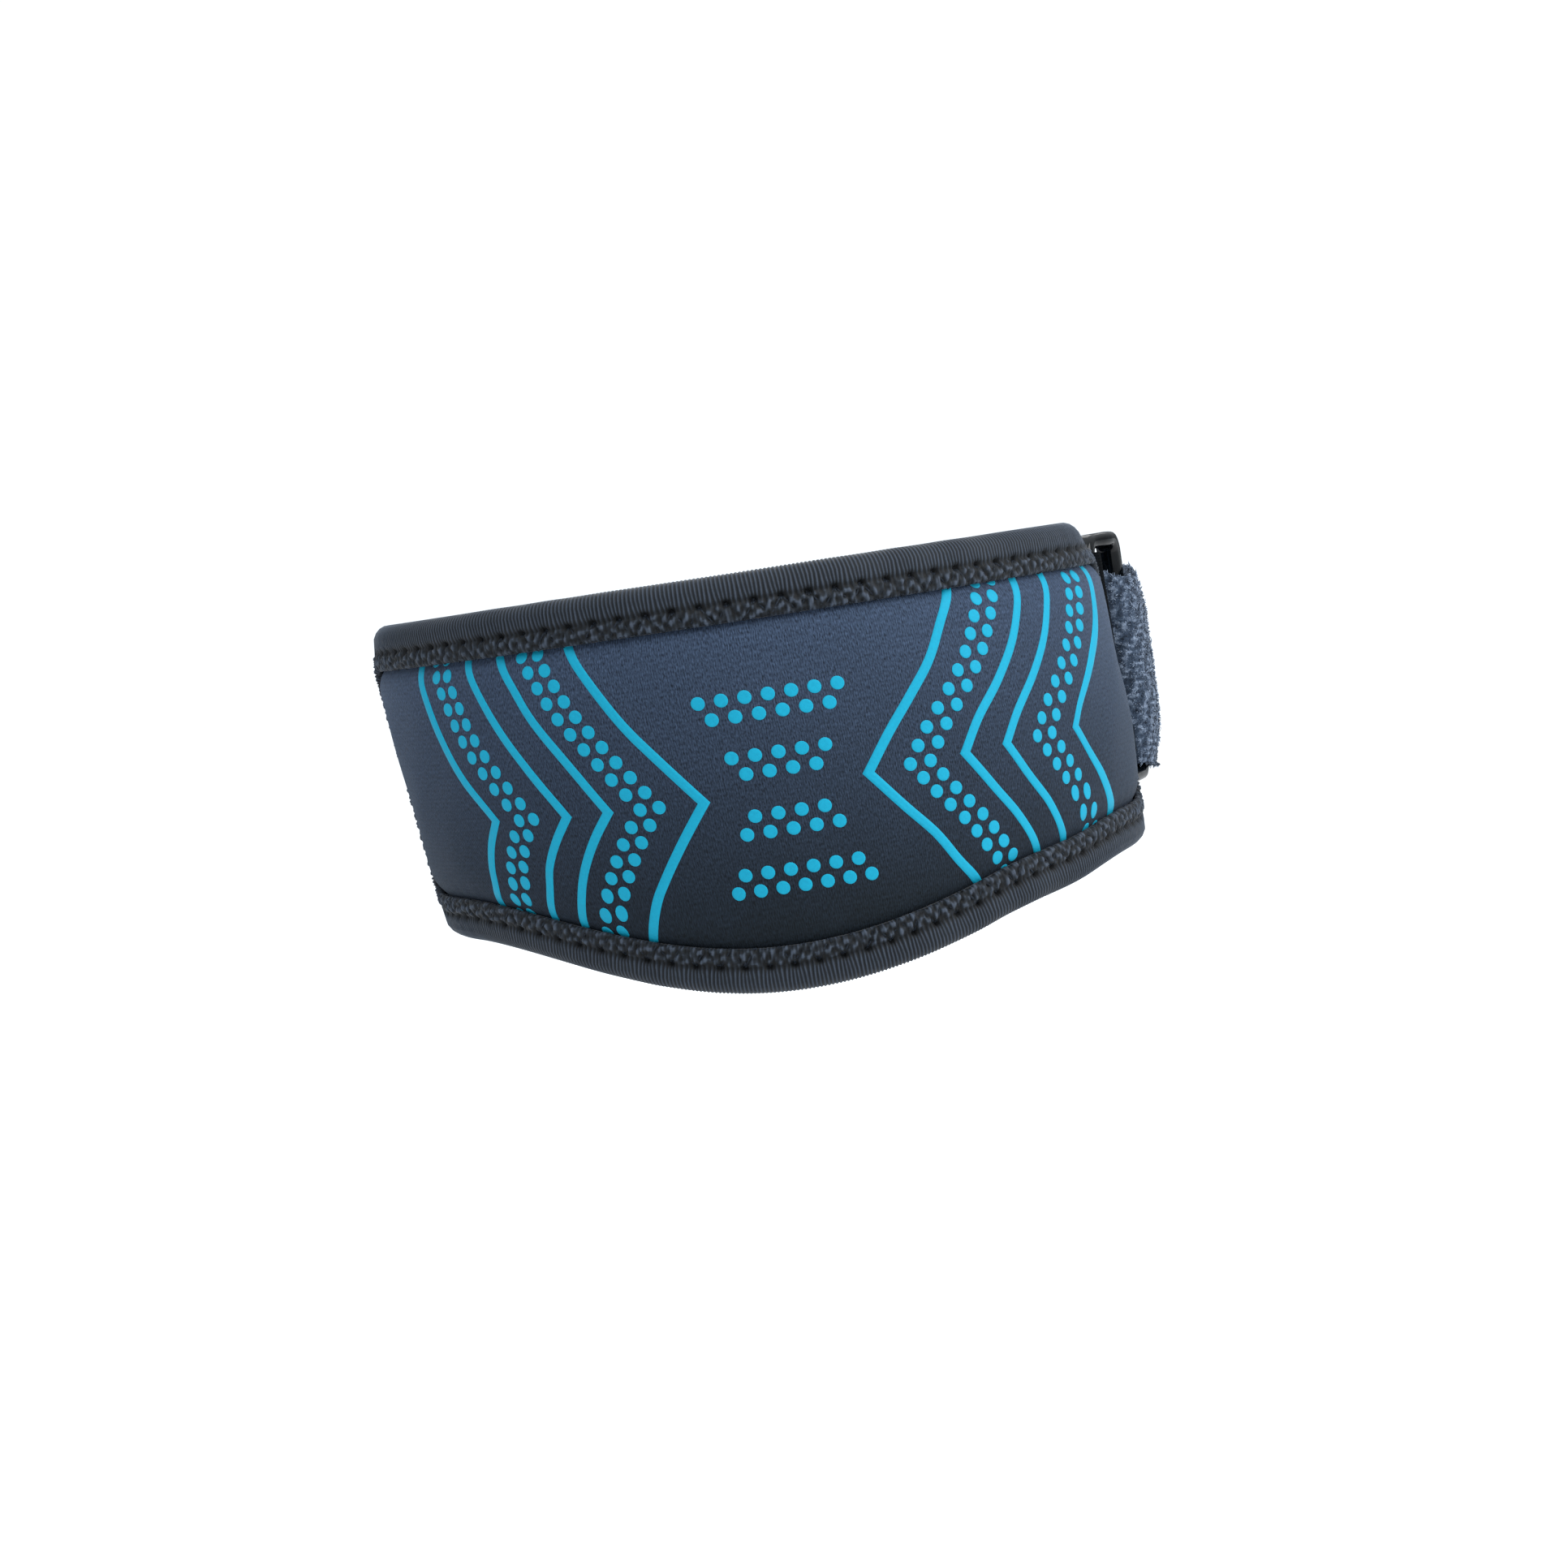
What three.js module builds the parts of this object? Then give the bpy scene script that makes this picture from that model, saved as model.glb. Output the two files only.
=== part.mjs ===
// A patella strap as it is worn, closed round the leg just below the knee: a padded front panel with a bound
// edge, a plastic ring held by a tab at its right end, and a plush strap that starts at its left end, runs
// round the back, goes out through the ring and folds back onto itself over a hook tab.
// Millimetres, +Z up, -Y to the front. The origin is on the leg's axis, half way up the front of the panel.
import * as THREE from "three";

const degrees = Math.PI / 180;

// The leg that the strap is closed round, at the panel's middle height
const legRadius = 53.5; // half the leg's width across the front
const legTaper = 3; // how much more half-width there is at the panel's top edge than at its bottom edge
const legLean = 4.1; // how far the leg's axis moves to the right from the top edge to the bottom edge
const sideTurn = 84 * degrees; // from straight ahead to where the side of the leg runs straight, under the ring
const calfRadius = 40; // rounding of the rear corners
const calfTurn = 150 * degrees; // where the rear corners pass into the flatter back

// Front panel and the tape that binds its edge
const panelHeight = 61.1; // at the middle of the front
const panelHalf = 93; // from the middle of the front to either end, along the outside
const lowerRise = 10.3; // how much higher the lower edge is at the ends than at the front
const bellHalf = 68; // from the middle to where the lower edge becomes level
const crown = 5.8; // thickness of the padding in the middle
const squeezed = 2.4; // thickness of the padding inside the tape
const tapeWall = 1;
const tapeWidth = 7; // from the panel's edge to the tape's inner line
const creaseRound = 3; // corner radius of that inner line
const gap = 0.3; // clearance between neighbouring pieces

// Ring
const ringLength = 42.4; // along the leg
const ringWidth = 15.6; // along the strap
const ringBar = 3.8; // both long bars, and the ring's thickness
const ringEnd = 2.5; // both short bars
const ringBevel = 1.1;
const ringCorner = 3.6; // outer corner radius
const ringRaise = 1.7; // above the middle of the panel's end
const ringTilt = 16.5 * degrees; // the rear bar stands away from the leg
const ringToe = 0.025; // how far the ring's upper end leans out, for each millimetre of height

// Ring tab
const tabThick = 1;
const tabWidth = 34;
const tabTail = 16; // length sewn inside the panel's end

// Plush strap and the hook tab at its free end
const strapWidth = 36.8;
const strapThick = 2.4;
const strapEdge = 0.8; // rounding of the strap's long edges
const strapSqueeze = 1.6; // how much narrower the strap is inside the ring
const strapTail = 18; // length sewn inside the panel's left end
const strapRest = 0.2; // clearance between the strap and the leg
const foldLength = 60; // from the ring's rear bar to the free end
const foldDrop = 1.6; // how much lower the folded layer runs
const foldRun = 30; // length over which the folded layer comes down behind the ring
const riseRun = 26; // length over which the inner layer rises to the ring
const stepRun = 10; // length over which the strap comes out from under the panel
const hookThick = 1.2;
const hookWidth = 34;
const hookLength = 24;
const hookInset = 1.5; // from the strap's free end

// What follows from these sizes
const wall = 2 * tapeWall + 2 * gap + squeezed; // thickness of the bound edge
const top = panelHeight / 2;
const endLow = -top + lowerRise;
const endMiddle = (top + endLow) / 2;
const cornerRound = tapeWidth + creaseRound;
const barReach = (ringBar / 2 - ringBevel) * Math.SQRT2 + ringBevel; // from a bar's axis to its rounded corner
const wrap = barReach + gap; // inner radius of what is wrapped round a bar
const barSpan = ringWidth - ringBar; // between the axes of the long bars
const frontBar = { s: panelHalf + 1.5 * gap + wrap + tabThick, out: wrap + tabThick };
const rearBar = {
  s: frontBar.s + barSpan * Math.cos(ringTilt),
  out: frontBar.out + barSpan * Math.sin(ringTilt),
};
const ringMiddle = endMiddle + ringRaise;
const slotHalf = ringLength / 2 - ringEnd;

const ease = (t) => {
  const k = Math.min(Math.max(t, 0), 1);
  return k * k * (3 - 2 * k);
};
const mix = THREE.MathUtils.lerp;

// The leg's outline seen from above, drawn through the outside of the bound edge at the origin's height.
// It is an arc across the front, a straight side, a rear corner and a flatter arc across the back.
const frontRadius = legRadius + wall;
const cornerRadius = calfRadius + wall;
const frontArc = frontRadius * sideTurn;
const sideRun = rearBar.s - frontArc; // the leg's side is straight as far back as the ring reaches
const facing = (angle) => new THREE.Vector2(Math.sin(angle), -Math.cos(angle));
const along = (angle) => new THREE.Vector2(Math.cos(angle), Math.sin(angle));
const sideStart = facing(sideTurn).multiplyScalar(frontRadius);
const sideEnd = sideStart.clone().addScaledVector(along(sideTurn), sideRun);
const cornerCentre = sideEnd.clone().addScaledVector(facing(sideTurn), -cornerRadius);
const cornerEnd = cornerCentre.clone().addScaledVector(facing(calfTurn), cornerRadius);
const backRadius = cornerEnd.x / Math.sin(calfTurn);
const backCentre = cornerEnd.clone().addScaledVector(facing(calfTurn), -backRadius);
const cornerArc = cornerRadius * (calfTurn - sideTurn);
const backArc = backRadius * (Math.PI - calfTurn);
const halfGirth = frontArc + sideRun + cornerArc + backArc;

// The direction that the outline faces, and its point, at the length s from the middle of the front.
// Positive lengths go round by the right side, and the two ways meet at the middle of the back. The side
// that comes with them is the same length without whole turns.
function outline(s) {
  const turn = 2 * halfGirth;
  const wrapped = ((((s + halfGirth) % turn) + turn) % turn) - halfGirth;
  const length = Math.abs(wrapped);
  let angle, point;
  if (length <= frontArc) {
    angle = length / frontRadius;
    point = facing(angle).multiplyScalar(frontRadius);
  } else if (length <= frontArc + sideRun) {
    angle = sideTurn;
    point = sideStart.clone().addScaledVector(along(angle), length - frontArc);
  } else if (length <= frontArc + sideRun + cornerArc) {
    angle = sideTurn + (length - frontArc - sideRun) / cornerRadius;
    point = cornerCentre.clone().addScaledVector(facing(angle), cornerRadius);
  } else {
    angle = calfTurn + (length - frontArc - sideRun - cornerArc) / backRadius;
    point = backCentre.clone().addScaledVector(facing(angle), backRadius);
  }
  const normal = facing(angle);
  if (wrapped < 0) {
    normal.x = -normal.x;
    point.x = -point.x;
  }
  return { normal, point, side: wrapped };
}

// How much of the ring's own lean a place has: none under the panel, all of it at the ring.
function toeShare(s) {
  const rising = ease((s - panelHalf + 2) / (frontBar.s - ringBar / 2 - panelHalf + 1.6));
  return rising * (1 - ease((s - rearBar.s - ringBar) / foldRun));
}

// A point of the worn strap: s along the outline, the height z, and how far out from the leg's skin it is.
function worn(s, z, out) {
  const { normal, point, side } = outline(s);
  const toe = ringToe * toeShare(side) * (z - ringMiddle);
  point.addScaledVector(normal, out - wall + toe + (legTaper * z) / panelHeight);
  return new THREE.Vector3(point.x - (legLean * z) / panelHeight, point.y, z);
}

// Collects the faces of one closed body. A face whose corners coincide is left out.
class Skin {
  constructor() {
    this.corners = [];
  }
  face(...points) {
    for (let i = 2; i < points.length; i++) {
      const [a, b, c] = [points[0], points[i - 1], points[i]];
      if (a.distanceTo(b) > 1e-4 && b.distanceTo(c) > 1e-4 && c.distanceTo(a) > 1e-4)
        this.corners.push(a, b, c);
    }
  }
  // Joins closed sections in turn, and closes the ends unless the last section meets the first.
  loft(sections, closed) {
    const count = sections[0].length;
    const spans = closed ? sections.length : sections.length - 1;
    for (let i = 0; i < spans; i++) {
      const [near, far] = [sections[i], sections[(i + 1) % sections.length]];
      for (let k = 0; k < count; k++)
        this.face(near[k], near[(k + 1) % count], far[(k + 1) % count], far[k]);
    }
    if (!closed) {
      this.face(...[...sections[0]].reverse());
      this.face(...sections[sections.length - 1]);
    }
    return this;
  }
  mesh(name, look) {
    let volume = 0;
    for (let i = 0; i < this.corners.length; i += 3) {
      const [a, b, c] = this.corners.slice(i, i + 3);
      volume += a.clone().cross(b).dot(c);
    }
    if (volume < 0)
      for (let i = 0; i < this.corners.length; i += 3)
        [this.corners[i + 1], this.corners[i + 2]] = [this.corners[i + 2], this.corners[i + 1]];
    const geometry = new THREE.BufferGeometry().setFromPoints(this.corners);
    geometry.computeVertexNormals();
    return piece(name, geometry, look);
  }
}

function piece(name, geometry, look) {
  const mesh = new THREE.Mesh(geometry, new THREE.MeshStandardMaterial(look));
  mesh.name = name;
  return mesh;
}

// The panel's edge as a closed row of places, each with the direction that points into the panel
const lengthSteps = 44;
const endSteps = 6;
const cornerSteps = 4;
const straightHalf = panelHalf - cornerRound;

// The lower edge hangs in a bell across the front and is level towards the ends.
function lowerEdge(s) {
  const t = Math.min(Math.abs(s) / bellHalf, 1);
  return -top + (lowerRise * (1 - Math.cos(Math.PI * t))) / 2;
}
function lowerSlope(s) {
  if (Math.abs(s) >= bellHalf) return 0;
  return (lowerRise * Math.PI * Math.sin((Math.PI * s) / bellHalf)) / (2 * bellHalf);
}
function lowerPlace(i) {
  const s = mix(-straightHalf, straightHalf, i / lengthSteps);
  const inward = new THREE.Vector2(-lowerSlope(s), 1).normalize();
  return { s, z: lowerEdge(s), inward };
}
function upperPlace(i) {
  const s = mix(-straightHalf, straightHalf, i / lengthSteps);
  return { s, z: top, inward: new THREE.Vector2(0, -1) };
}
function edgePlaces() {
  const places = [];
  const corner = (side, z, from) => {
    for (let k = 1; k < cornerSteps; k++) {
      const angle = from + (k / cornerSteps) * (Math.PI / 2);
      const outward = along(angle);
      places.push({
        s: side * straightHalf + outward.x * cornerRound,
        z: z + outward.y * cornerRound,
        inward: outward.negate(),
      });
    }
  };
  const end = (side, j) => ({
    s: side * panelHalf,
    z: mix(endLow + cornerRound, top - cornerRound, j / endSteps),
    inward: new THREE.Vector2(-side, 0),
  });
  for (let i = 0; i <= lengthSteps; i++) places.push(lowerPlace(i));
  corner(1, endLow + cornerRound, -Math.PI / 2);
  for (let j = 0; j <= endSteps; j++) places.push(end(1, j));
  corner(1, top - cornerRound, 0);
  for (let i = lengthSteps; i >= 0; i--) places.push(upperPlace(i));
  corner(-1, top - cornerRound, Math.PI / 2);
  for (let j = endSteps; j >= 0; j--) places.push(end(-1, j));
  corner(-1, endLow + cornerRound, Math.PI);
  return places;
}
const edge = edgePlaces();
const inset = (place, depth, out) =>
  worn(place.s + place.inward.x * depth, place.z + place.inward.y * depth, out);

// Front panel. Each row of the rim is a line all round it: how far in from the edge it runs, the share of the
// padding's rise that the outside has there, and the share that the skin side has come down to the leg.
const rim = [
  { depth: tapeWall + gap, rise: 0, fall: 0 },
  { depth: tapeWidth + 0.5 * gap, rise: 0, fall: 0 },
  { depth: tapeWidth + 2 * gap, rise: 0.21, fall: 0.35 },
  { depth: tapeWidth + 4 * gap, rise: 0.57, fall: 0.8 },
  { depth: cornerRound, rise: 0.79, fall: 1 },
];
const skinSide = (fall) => mix(tapeWall + gap, 0, fall);
const outside = (rise) => mix(tapeWall + gap + squeezed, crown, rise);

function frontPanel() {
  const skin = new Skin();
  const count = edge.length;
  for (let i = 0; i < count; i++) {
    const [here, next] = [edge[i], edge[(i + 1) % count]];
    for (let k = 1; k < rim.length; k++) {
      const [a, b] = [rim[k - 1], rim[k]];
      skin.face(
        inset(here, a.depth, outside(a.rise)),
        inset(next, a.depth, outside(a.rise)),
        inset(next, b.depth, outside(b.rise)),
        inset(here, b.depth, outside(b.rise)),
      );
      skin.face(
        inset(here, b.depth, skinSide(b.fall)),
        inset(next, b.depth, skinSide(b.fall)),
        inset(next, a.depth, skinSide(a.fall)),
        inset(here, a.depth, skinSide(a.fall)),
      );
    }
    const cut = rim[0].depth;
    skin.face(
      inset(here, cut, skinSide(0)),
      inset(next, cut, skinSide(0)),
      inset(next, cut, outside(0)),
      inset(here, cut, outside(0)),
    );
  }
  // The field inside the rim, from the lower row to the upper row
  const last = rim[rim.length - 1];
  const field = (i, j, front) => {
    const [low, high] = [lowerPlace(i), upperPlace(i)];
    const v = j / endSteps;
    const s = mix(low.s + low.inward.x * last.depth, high.s, v);
    const z = mix(low.z + low.inward.y * last.depth, top - last.depth, v);
    const hill =
      (1 - Math.abs(2 * v - 1) ** 2.5) * (1 - Math.abs((2 * i) / lengthSteps - 1) ** 8);
    return worn(s, z, front ? outside(mix(last.rise, 1, hill)) : skinSide(last.fall));
  };
  for (let i = 0; i < lengthSteps; i++)
    for (let j = 0; j < endSteps; j++)
      for (const front of [true, false]) {
        const corners = [
          field(i, j, front),
          field(i + 1, j, front),
          field(i + 1, j + 1, front),
          field(i, j + 1, front),
        ];
        skin.face(...(front ? corners : corners.reverse()));
      }
  return skin.mesh("front_panel", { color: 0x333f4b, roughness: 0.95, metalness: 0 });
}

// Edge binding: one folded tape whose two walls take the panel's edge between them
function edgeBinding() {
  const fold = wall / 2;
  const inner = fold - tapeWall;
  const section = [[tapeWidth, 0]];
  for (let k = 0; k <= 6; k++) {
    const angle = -Math.PI / 2 - (k / 6) * Math.PI;
    section.push([fold + fold * Math.cos(angle), fold + fold * Math.sin(angle)]);
  }
  section.push([tapeWidth, wall], [tapeWidth, wall - tapeWall]);
  for (let k = 0; k <= 4; k++) {
    const angle = Math.PI / 2 + (k / 4) * Math.PI;
    section.push([
      tapeWall + 0.35 * inner + 0.35 * inner * Math.cos(angle),
      fold + inner * Math.sin(angle),
    ]);
  }
  section.push([tapeWidth, tapeWall]);
  const sections = edge.map((place) => section.map(([depth, out]) => inset(place, depth, out)));
  return new Skin()
    .loft(sections, true)
    .mesh("edge_binding", { color: 0x2c3541, roughness: 0.8, metalness: 0 });
}

// Strap ring: a flat loop with rounded bars, standing along the leg beside the panel's right end
function strapRing() {
  const rounded = (target, width, length, radius) => {
    const [x, y] = [width / 2, length / 2];
    target.moveTo(x, radius - y);
    target.lineTo(x, y - radius);
    target.absarc(x - radius, y - radius, radius, 0, Math.PI / 2, false);
    target.lineTo(radius - x, y);
    target.absarc(radius - x, y - radius, radius, Math.PI / 2, Math.PI, false);
    target.lineTo(-x, radius - y);
    target.absarc(radius - x, radius - y, radius, Math.PI, 1.5 * Math.PI, false);
    target.lineTo(x - radius, -y);
    target.absarc(x - radius, radius - y, radius, 1.5 * Math.PI, 2 * Math.PI, false);
    return target;
  };
  const loop = rounded(new THREE.Shape(), ringWidth, ringLength, ringCorner);
  const slotWidth = ringWidth - 2 * ringBar;
  loop.holes.push(rounded(new THREE.Path(), slotWidth, 2 * slotHalf, ringCorner / 3));
  const geometry = new THREE.ExtrudeGeometry(loop, {
    depth: ringBar - 2 * ringBevel,
    curveSegments: 5,
    bevelThickness: ringBevel,
    bevelSize: ringBevel,
    bevelOffset: -ringBevel,
    bevelSegments: 3,
  });
  geometry.translate(0, 0, -ringBar / 2 + ringBevel);
  const ring = piece("strap_ring", geometry, { color: 0x1c2228, roughness: 0.18, metalness: 0 });
  const middle = {
    s: (frontBar.s + rearBar.s) / 2,
    out: (frontBar.out + rearBar.out) / 2,
  };
  ring.position.copy(worn(middle.s, ringMiddle, middle.out));
  const up = worn(middle.s, ringMiddle + 1, middle.out).sub(ring.position).normalize();
  const heading = along(sideTurn - ringTilt);
  const across = new THREE.Vector3(heading.x, heading.y, 0);
  across.addScaledVector(up, -across.dot(up)).normalize();
  ring.quaternion.setFromRotationMatrix(
    new THREE.Matrix4().makeBasis(across, up, across.clone().cross(up)),
  );
  return ring;
}

// Ring tab: a strip folded round the ring's front bar, both ends sewn together inside the panel's end
function ringTab() {
  const flat = (s, out) => {
    const p = worn(s, 0, out);
    return new THREE.Vector2(p.x, p.y);
  };
  const radius = wrap + tabThick;
  const arc = (r, from, to, steps) =>
    Array.from({ length: steps + 1 }, (_, k) => {
      const angle = mix(from, to, k / steps);
      return flat(frontBar.s + r * Math.cos(angle), frontBar.out + r * Math.sin(angle));
    });
  const tailEnd = panelHalf - tabTail;
  const tailOut = -gap - (ringToe * tabWidth) / 2;
  const tail = (out, to) =>
    Array.from({ length: 6 }, (_, k) => flat(mix(tailEnd, to, k / 5), out));
  const loop = new THREE.Shape([
    ...tail(tailOut - 2 * tabThick, panelHalf),
    ...arc(radius, -50 * degrees, 205 * degrees, 14),
    ...tail(tailOut, panelHalf).reverse(),
  ]);
  loop.holes.push(new THREE.Path(arc(wrap, 2 * Math.PI, 0, 18).slice(0, -1)));
  const geometry = new THREE.ExtrudeGeometry(loop, { depth: tabWidth, bevelEnabled: false });
  geometry.translate(0, 0, ringMiddle - tabWidth / 2);
  // Leans with the side of the leg
  const lean = worn(frontBar.s, 1, 0).sub(worn(frontBar.s, 0, 0));
  geometry.applyMatrix4(
    new THREE.Matrix4().makeBasis(new THREE.Vector3(1, 0, 0), new THREE.Vector3(0, 1, 0), lean),
  );
  return piece("ring_tab", geometry, { color: 0x20262d, roughness: 0.85, metalness: 0 });
}

// A flat ribbon along a path of places {s, z, out, width}, with its long edges rounded off
function ribbon(path, thick, round) {
  const t = thick / 2;
  const sections = path.map((place, i) => {
    const w = place.width / 2;
    const section = [
      [w, t - round],
      [w - round, t],
      [round - w, t],
      [-w, t - round],
      [-w, round - t],
      [round - w, -t],
      [w - round, -t],
      [w, round - t],
    ];
    const [before, after] = [path[Math.max(i - 1, 0)], path[Math.min(i + 1, path.length - 1)]];
    const heading = new THREE.Vector2(after.s - before.s, after.out - before.out).normalize();
    return section.map(([across, up]) =>
      worn(place.s - heading.y * up, place.z + across, place.out + heading.x * up),
    );
  });
  return new Skin().loft(sections, false);
}

const steps = (count, make) => Array.from({ length: count }, (_, k) => make((k + 1) / count));

// Pull strap: out from under the panel's left end, round the back, through the ring and back over itself.
// Lengths on the left side and round the back are negative, and come to the ring by the middle of the back.
const strapOut = strapRest + strapThick / 2;
const foldedOut = strapRest + 1.5 * strapThick + 2 * gap + hookThick;
const turnRadius = wrap + strapThick / 2;
const squeezedWidth = strapWidth - strapSqueeze;
const slotZ = ringMiddle - slotHalf + gap + squeezedWidth / 2;
const roundTheBack = (s) => s - 2 * halfGirth;

function strapPath() {
  const width = strapWidth;
  const under = { s: strapTail - panelHalf, z: endMiddle, out: -gap - strapThick / 2, width };
  const free = { s: -panelHalf - stepRun - gap, z: endMiddle, out: strapOut, width };
  const path = [under];
  path.push(...steps(6, (t) => ({ ...under, s: mix(under.s, -panelHalf - gap, t) })));
  path.push(
    ...steps(5, (t) => ({
      s: mix(-panelHalf - gap, free.s, t),
      z: endMiddle,
      out: mix(under.out, strapOut, ease(t)),
      width,
    })),
  );
  const lift = { s: roundTheBack(rearBar.s + riseRun), z: slotZ, out: strapOut };
  path.push(
    ...steps(34, (t) => ({
      s: mix(free.s, lift.s, t),
      z: mix(endMiddle, slotZ, t),
      out: strapOut,
      width,
    })),
  );
  path.push(
    ...steps(9, (t) => ({
      s: mix(lift.s, roundTheBack(rearBar.s), t),
      z: slotZ,
      out: mix(strapOut, rearBar.out - turnRadius, ease(t)),
      width: mix(width, squeezedWidth, ease(1.5 * t)),
    })),
  );
  path.push(
    ...steps(12, (t) => {
      const angle = -Math.PI / 2 - t * Math.PI;
      return {
        s: roundTheBack(rearBar.s) + turnRadius * Math.cos(angle),
        z: slotZ - foldDrop * ease((t - 0.6) / 0.8),
        out: rearBar.out + turnRadius * Math.sin(angle),
        width: mix(squeezedWidth, width, ease((t - 0.6) / 0.8)),
      };
    }),
  );
  path.push(
    ...steps(20, (t) => ({
      s: roundTheBack(rearBar.s) + t * foldLength,
      z: slotZ - foldDrop * mix(0.5, 1, ease(t * 4)),
      out: mix(rearBar.out + turnRadius, foldedOut, ease((t * foldLength) / foldRun)),
      width: mix(squeezedWidth, width, mix(0.5, 1, ease(t * 4))),
    })),
  );
  return path;
}

const pullStrap = ribbon(strapPath(), strapThick, strapEdge).mesh("pull_strap", {
  color: 0x4b596b,
  roughness: 1,
  metalness: 0,
});

// Hook tab: between the strap's two layers at its free end
const hookEnd = rearBar.s + foldLength - hookInset;
const hookPath = Array.from({ length: 7 }, (_, k) => ({
  s: mix(hookEnd - hookLength, hookEnd, k / 6),
  z: slotZ - foldDrop,
  out: strapRest + strapThick + gap + hookThick / 2,
  width: hookWidth,
}));
const hookTab = ribbon(hookPath, hookThick, 0.25 * hookThick).mesh("hook_tab", {
  color: 0x20262d,
  roughness: 0.85,
  metalness: 0,
});

const strap = new THREE.Group();
strap.add(frontPanel(), edgeBinding(), strapRing(), ringTab(), pullStrap, hookTab);

export default strap;
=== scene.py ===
import bpy
import numpy as np
from numpy import concatenate, cos, exp, linspace, pi, sin, stack
from mathutils import Matrix, Vector


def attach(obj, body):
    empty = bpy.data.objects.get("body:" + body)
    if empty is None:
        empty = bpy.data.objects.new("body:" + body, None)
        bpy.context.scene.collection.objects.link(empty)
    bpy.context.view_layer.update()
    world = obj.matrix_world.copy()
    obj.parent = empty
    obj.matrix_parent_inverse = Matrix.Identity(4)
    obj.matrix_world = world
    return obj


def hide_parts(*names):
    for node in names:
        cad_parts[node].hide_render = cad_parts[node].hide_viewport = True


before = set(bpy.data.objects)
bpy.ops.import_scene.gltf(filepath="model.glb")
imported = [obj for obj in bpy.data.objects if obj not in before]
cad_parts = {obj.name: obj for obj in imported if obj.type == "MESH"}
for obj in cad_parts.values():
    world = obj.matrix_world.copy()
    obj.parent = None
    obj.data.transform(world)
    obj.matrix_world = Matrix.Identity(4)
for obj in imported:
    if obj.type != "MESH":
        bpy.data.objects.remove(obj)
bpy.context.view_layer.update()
rng = np.random.default_rng(7565)
mm = 0.001
cm = 0.1  # millimetres as centimetres, the unit of the UV maps
print("frame loaded:", ", ".join(sorted(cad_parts)))

# Sizes in millimetres. s runs along the strap from the middle of the front, positive to the right as seen
# from the front, z is the height from half way up the panel, and out is the distance from the hollow's wall,
# on which the strap lies. These pieces come first, because the way round the hollow is worked out from them.
hollow = dict(radius=53.5, taper=3.0, lean=4.1, cornerRadius=40.0, sideTurn=np.radians(84),
              cornerTurn=np.radians(150))
panel = dict(height=61.1, half=93.0, lowerRise=10.3, bellHalf=68.0, squeezed=2.4, rollDepth=4.6, roll=1.25,
             broad=1.45, broadRun=23.0, pull=0.06, ripple=0.1, innerRound=3.0, dip=0.95, dipUp=(-3, 17),
             cornerDip=2.2, cornerUp=(21.5, 9), rightAlong=(60, 21), leftDip=1.2, leftUp=(22, 8.5),
             leftAlong=(66, 18), sag=1.4, sagAt=-20, sagWidth=27, endSag=1.7, endSagAlong=(30, 22), sagFade=7)
tape = dict(wall=1.0, width=7.0, gap=0.3, ribPitch=0.62, ribDepth=0.11, stitchPitch=3.95, stitchInset=4.2,
            stitchDepth=0.95, holeLong=0.52, holeHigh=0.4, rowDepth=0.3, hemRelief=0.3, hemRise=0.12,
            valleyWidth=0.34, gather=0.32, knotDepth=0.24, knotWaves=14, knotSize=(0.85, 1.7))
ring = dict(length=42.4, width=15.6, bar=3.8, end=2.5, corner=3.6, raised=1.7, tilt=np.radians(16.5),
            toe=0.025, bevel=1.1, spring=1.5, springUp=(-2, 14), springAlong=(1, 7), squareness=3.1,
            mouldLine=0.012)
tab = dict(thick=1.0, width=34.0, tail=16.0, raised=1.1, pulledThin=0.7, pulledIn=0.2)

gap = tape["gap"]
top = panel["height"] / 2
endLow = panel["lowerRise"] - top
endMiddle = (top + endLow) / 2
cornerRound = tape["width"] + panel["innerRound"]
wallOut = 2 * tape["wall"] + 2 * gap + panel["squeezed"]
padEdge = tape["wall"] + gap  # inner side of the padding inside the tape
padFace = padEdge + panel["squeezed"]
barReach = (ring["bar"] / 2 - ring["bevel"]) * 2 ** 0.5 + ring["bevel"]
wrap = barReach + gap
frontBar = (panel["half"] + 1.5 * gap + wrap + tab["thick"], wrap + tab["thick"])
barSpan = ring["width"] - ring["bar"]
rearBar = (frontBar[0] + barSpan * cos(ring["tilt"]), frontBar[1] + barSpan * sin(ring["tilt"]))
ringMiddle = endMiddle + ring["raised"]
slotHalf = ring["length"] / 2 - ring["end"]


def ease(t):
    # Smooth step from 0 to 1: t squared times three less two t
    t = np.clip(t, 0, 1)
    return t * t * (3 - 2 * t)


def rise(value, span):
    # Smooth step over a span, which is given by its start and its length
    return ease((value - span[0]) / span[1])


def mix(a, b, t):
    # Straight line from a to b
    return a + (b - a) * t


def fullTurn(count):
    # Angles round a full turn in even steps
    return linspace(0, 2 * pi, count, endpoint=False)


def unit(vectors, least=0):
    # Vectors over their lengths
    return vectors / (np.linalg.norm(vectors, axis=-1, keepdims=True) + least)


def lengthAlong(points):
    # Length along a line of points, at each of them
    return concatenate([[0], np.cumsum(np.linalg.norm(np.diff(points, axis=0), axis=1))])


def facing(angle):
    # Direction out of the hollow, angle round from its front
    return stack([sin(angle), -cos(angle)], -1)


def heading(angle):
    # Direction along the strap there, square to facing
    return stack([cos(angle), sin(angle)], -1)


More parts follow.
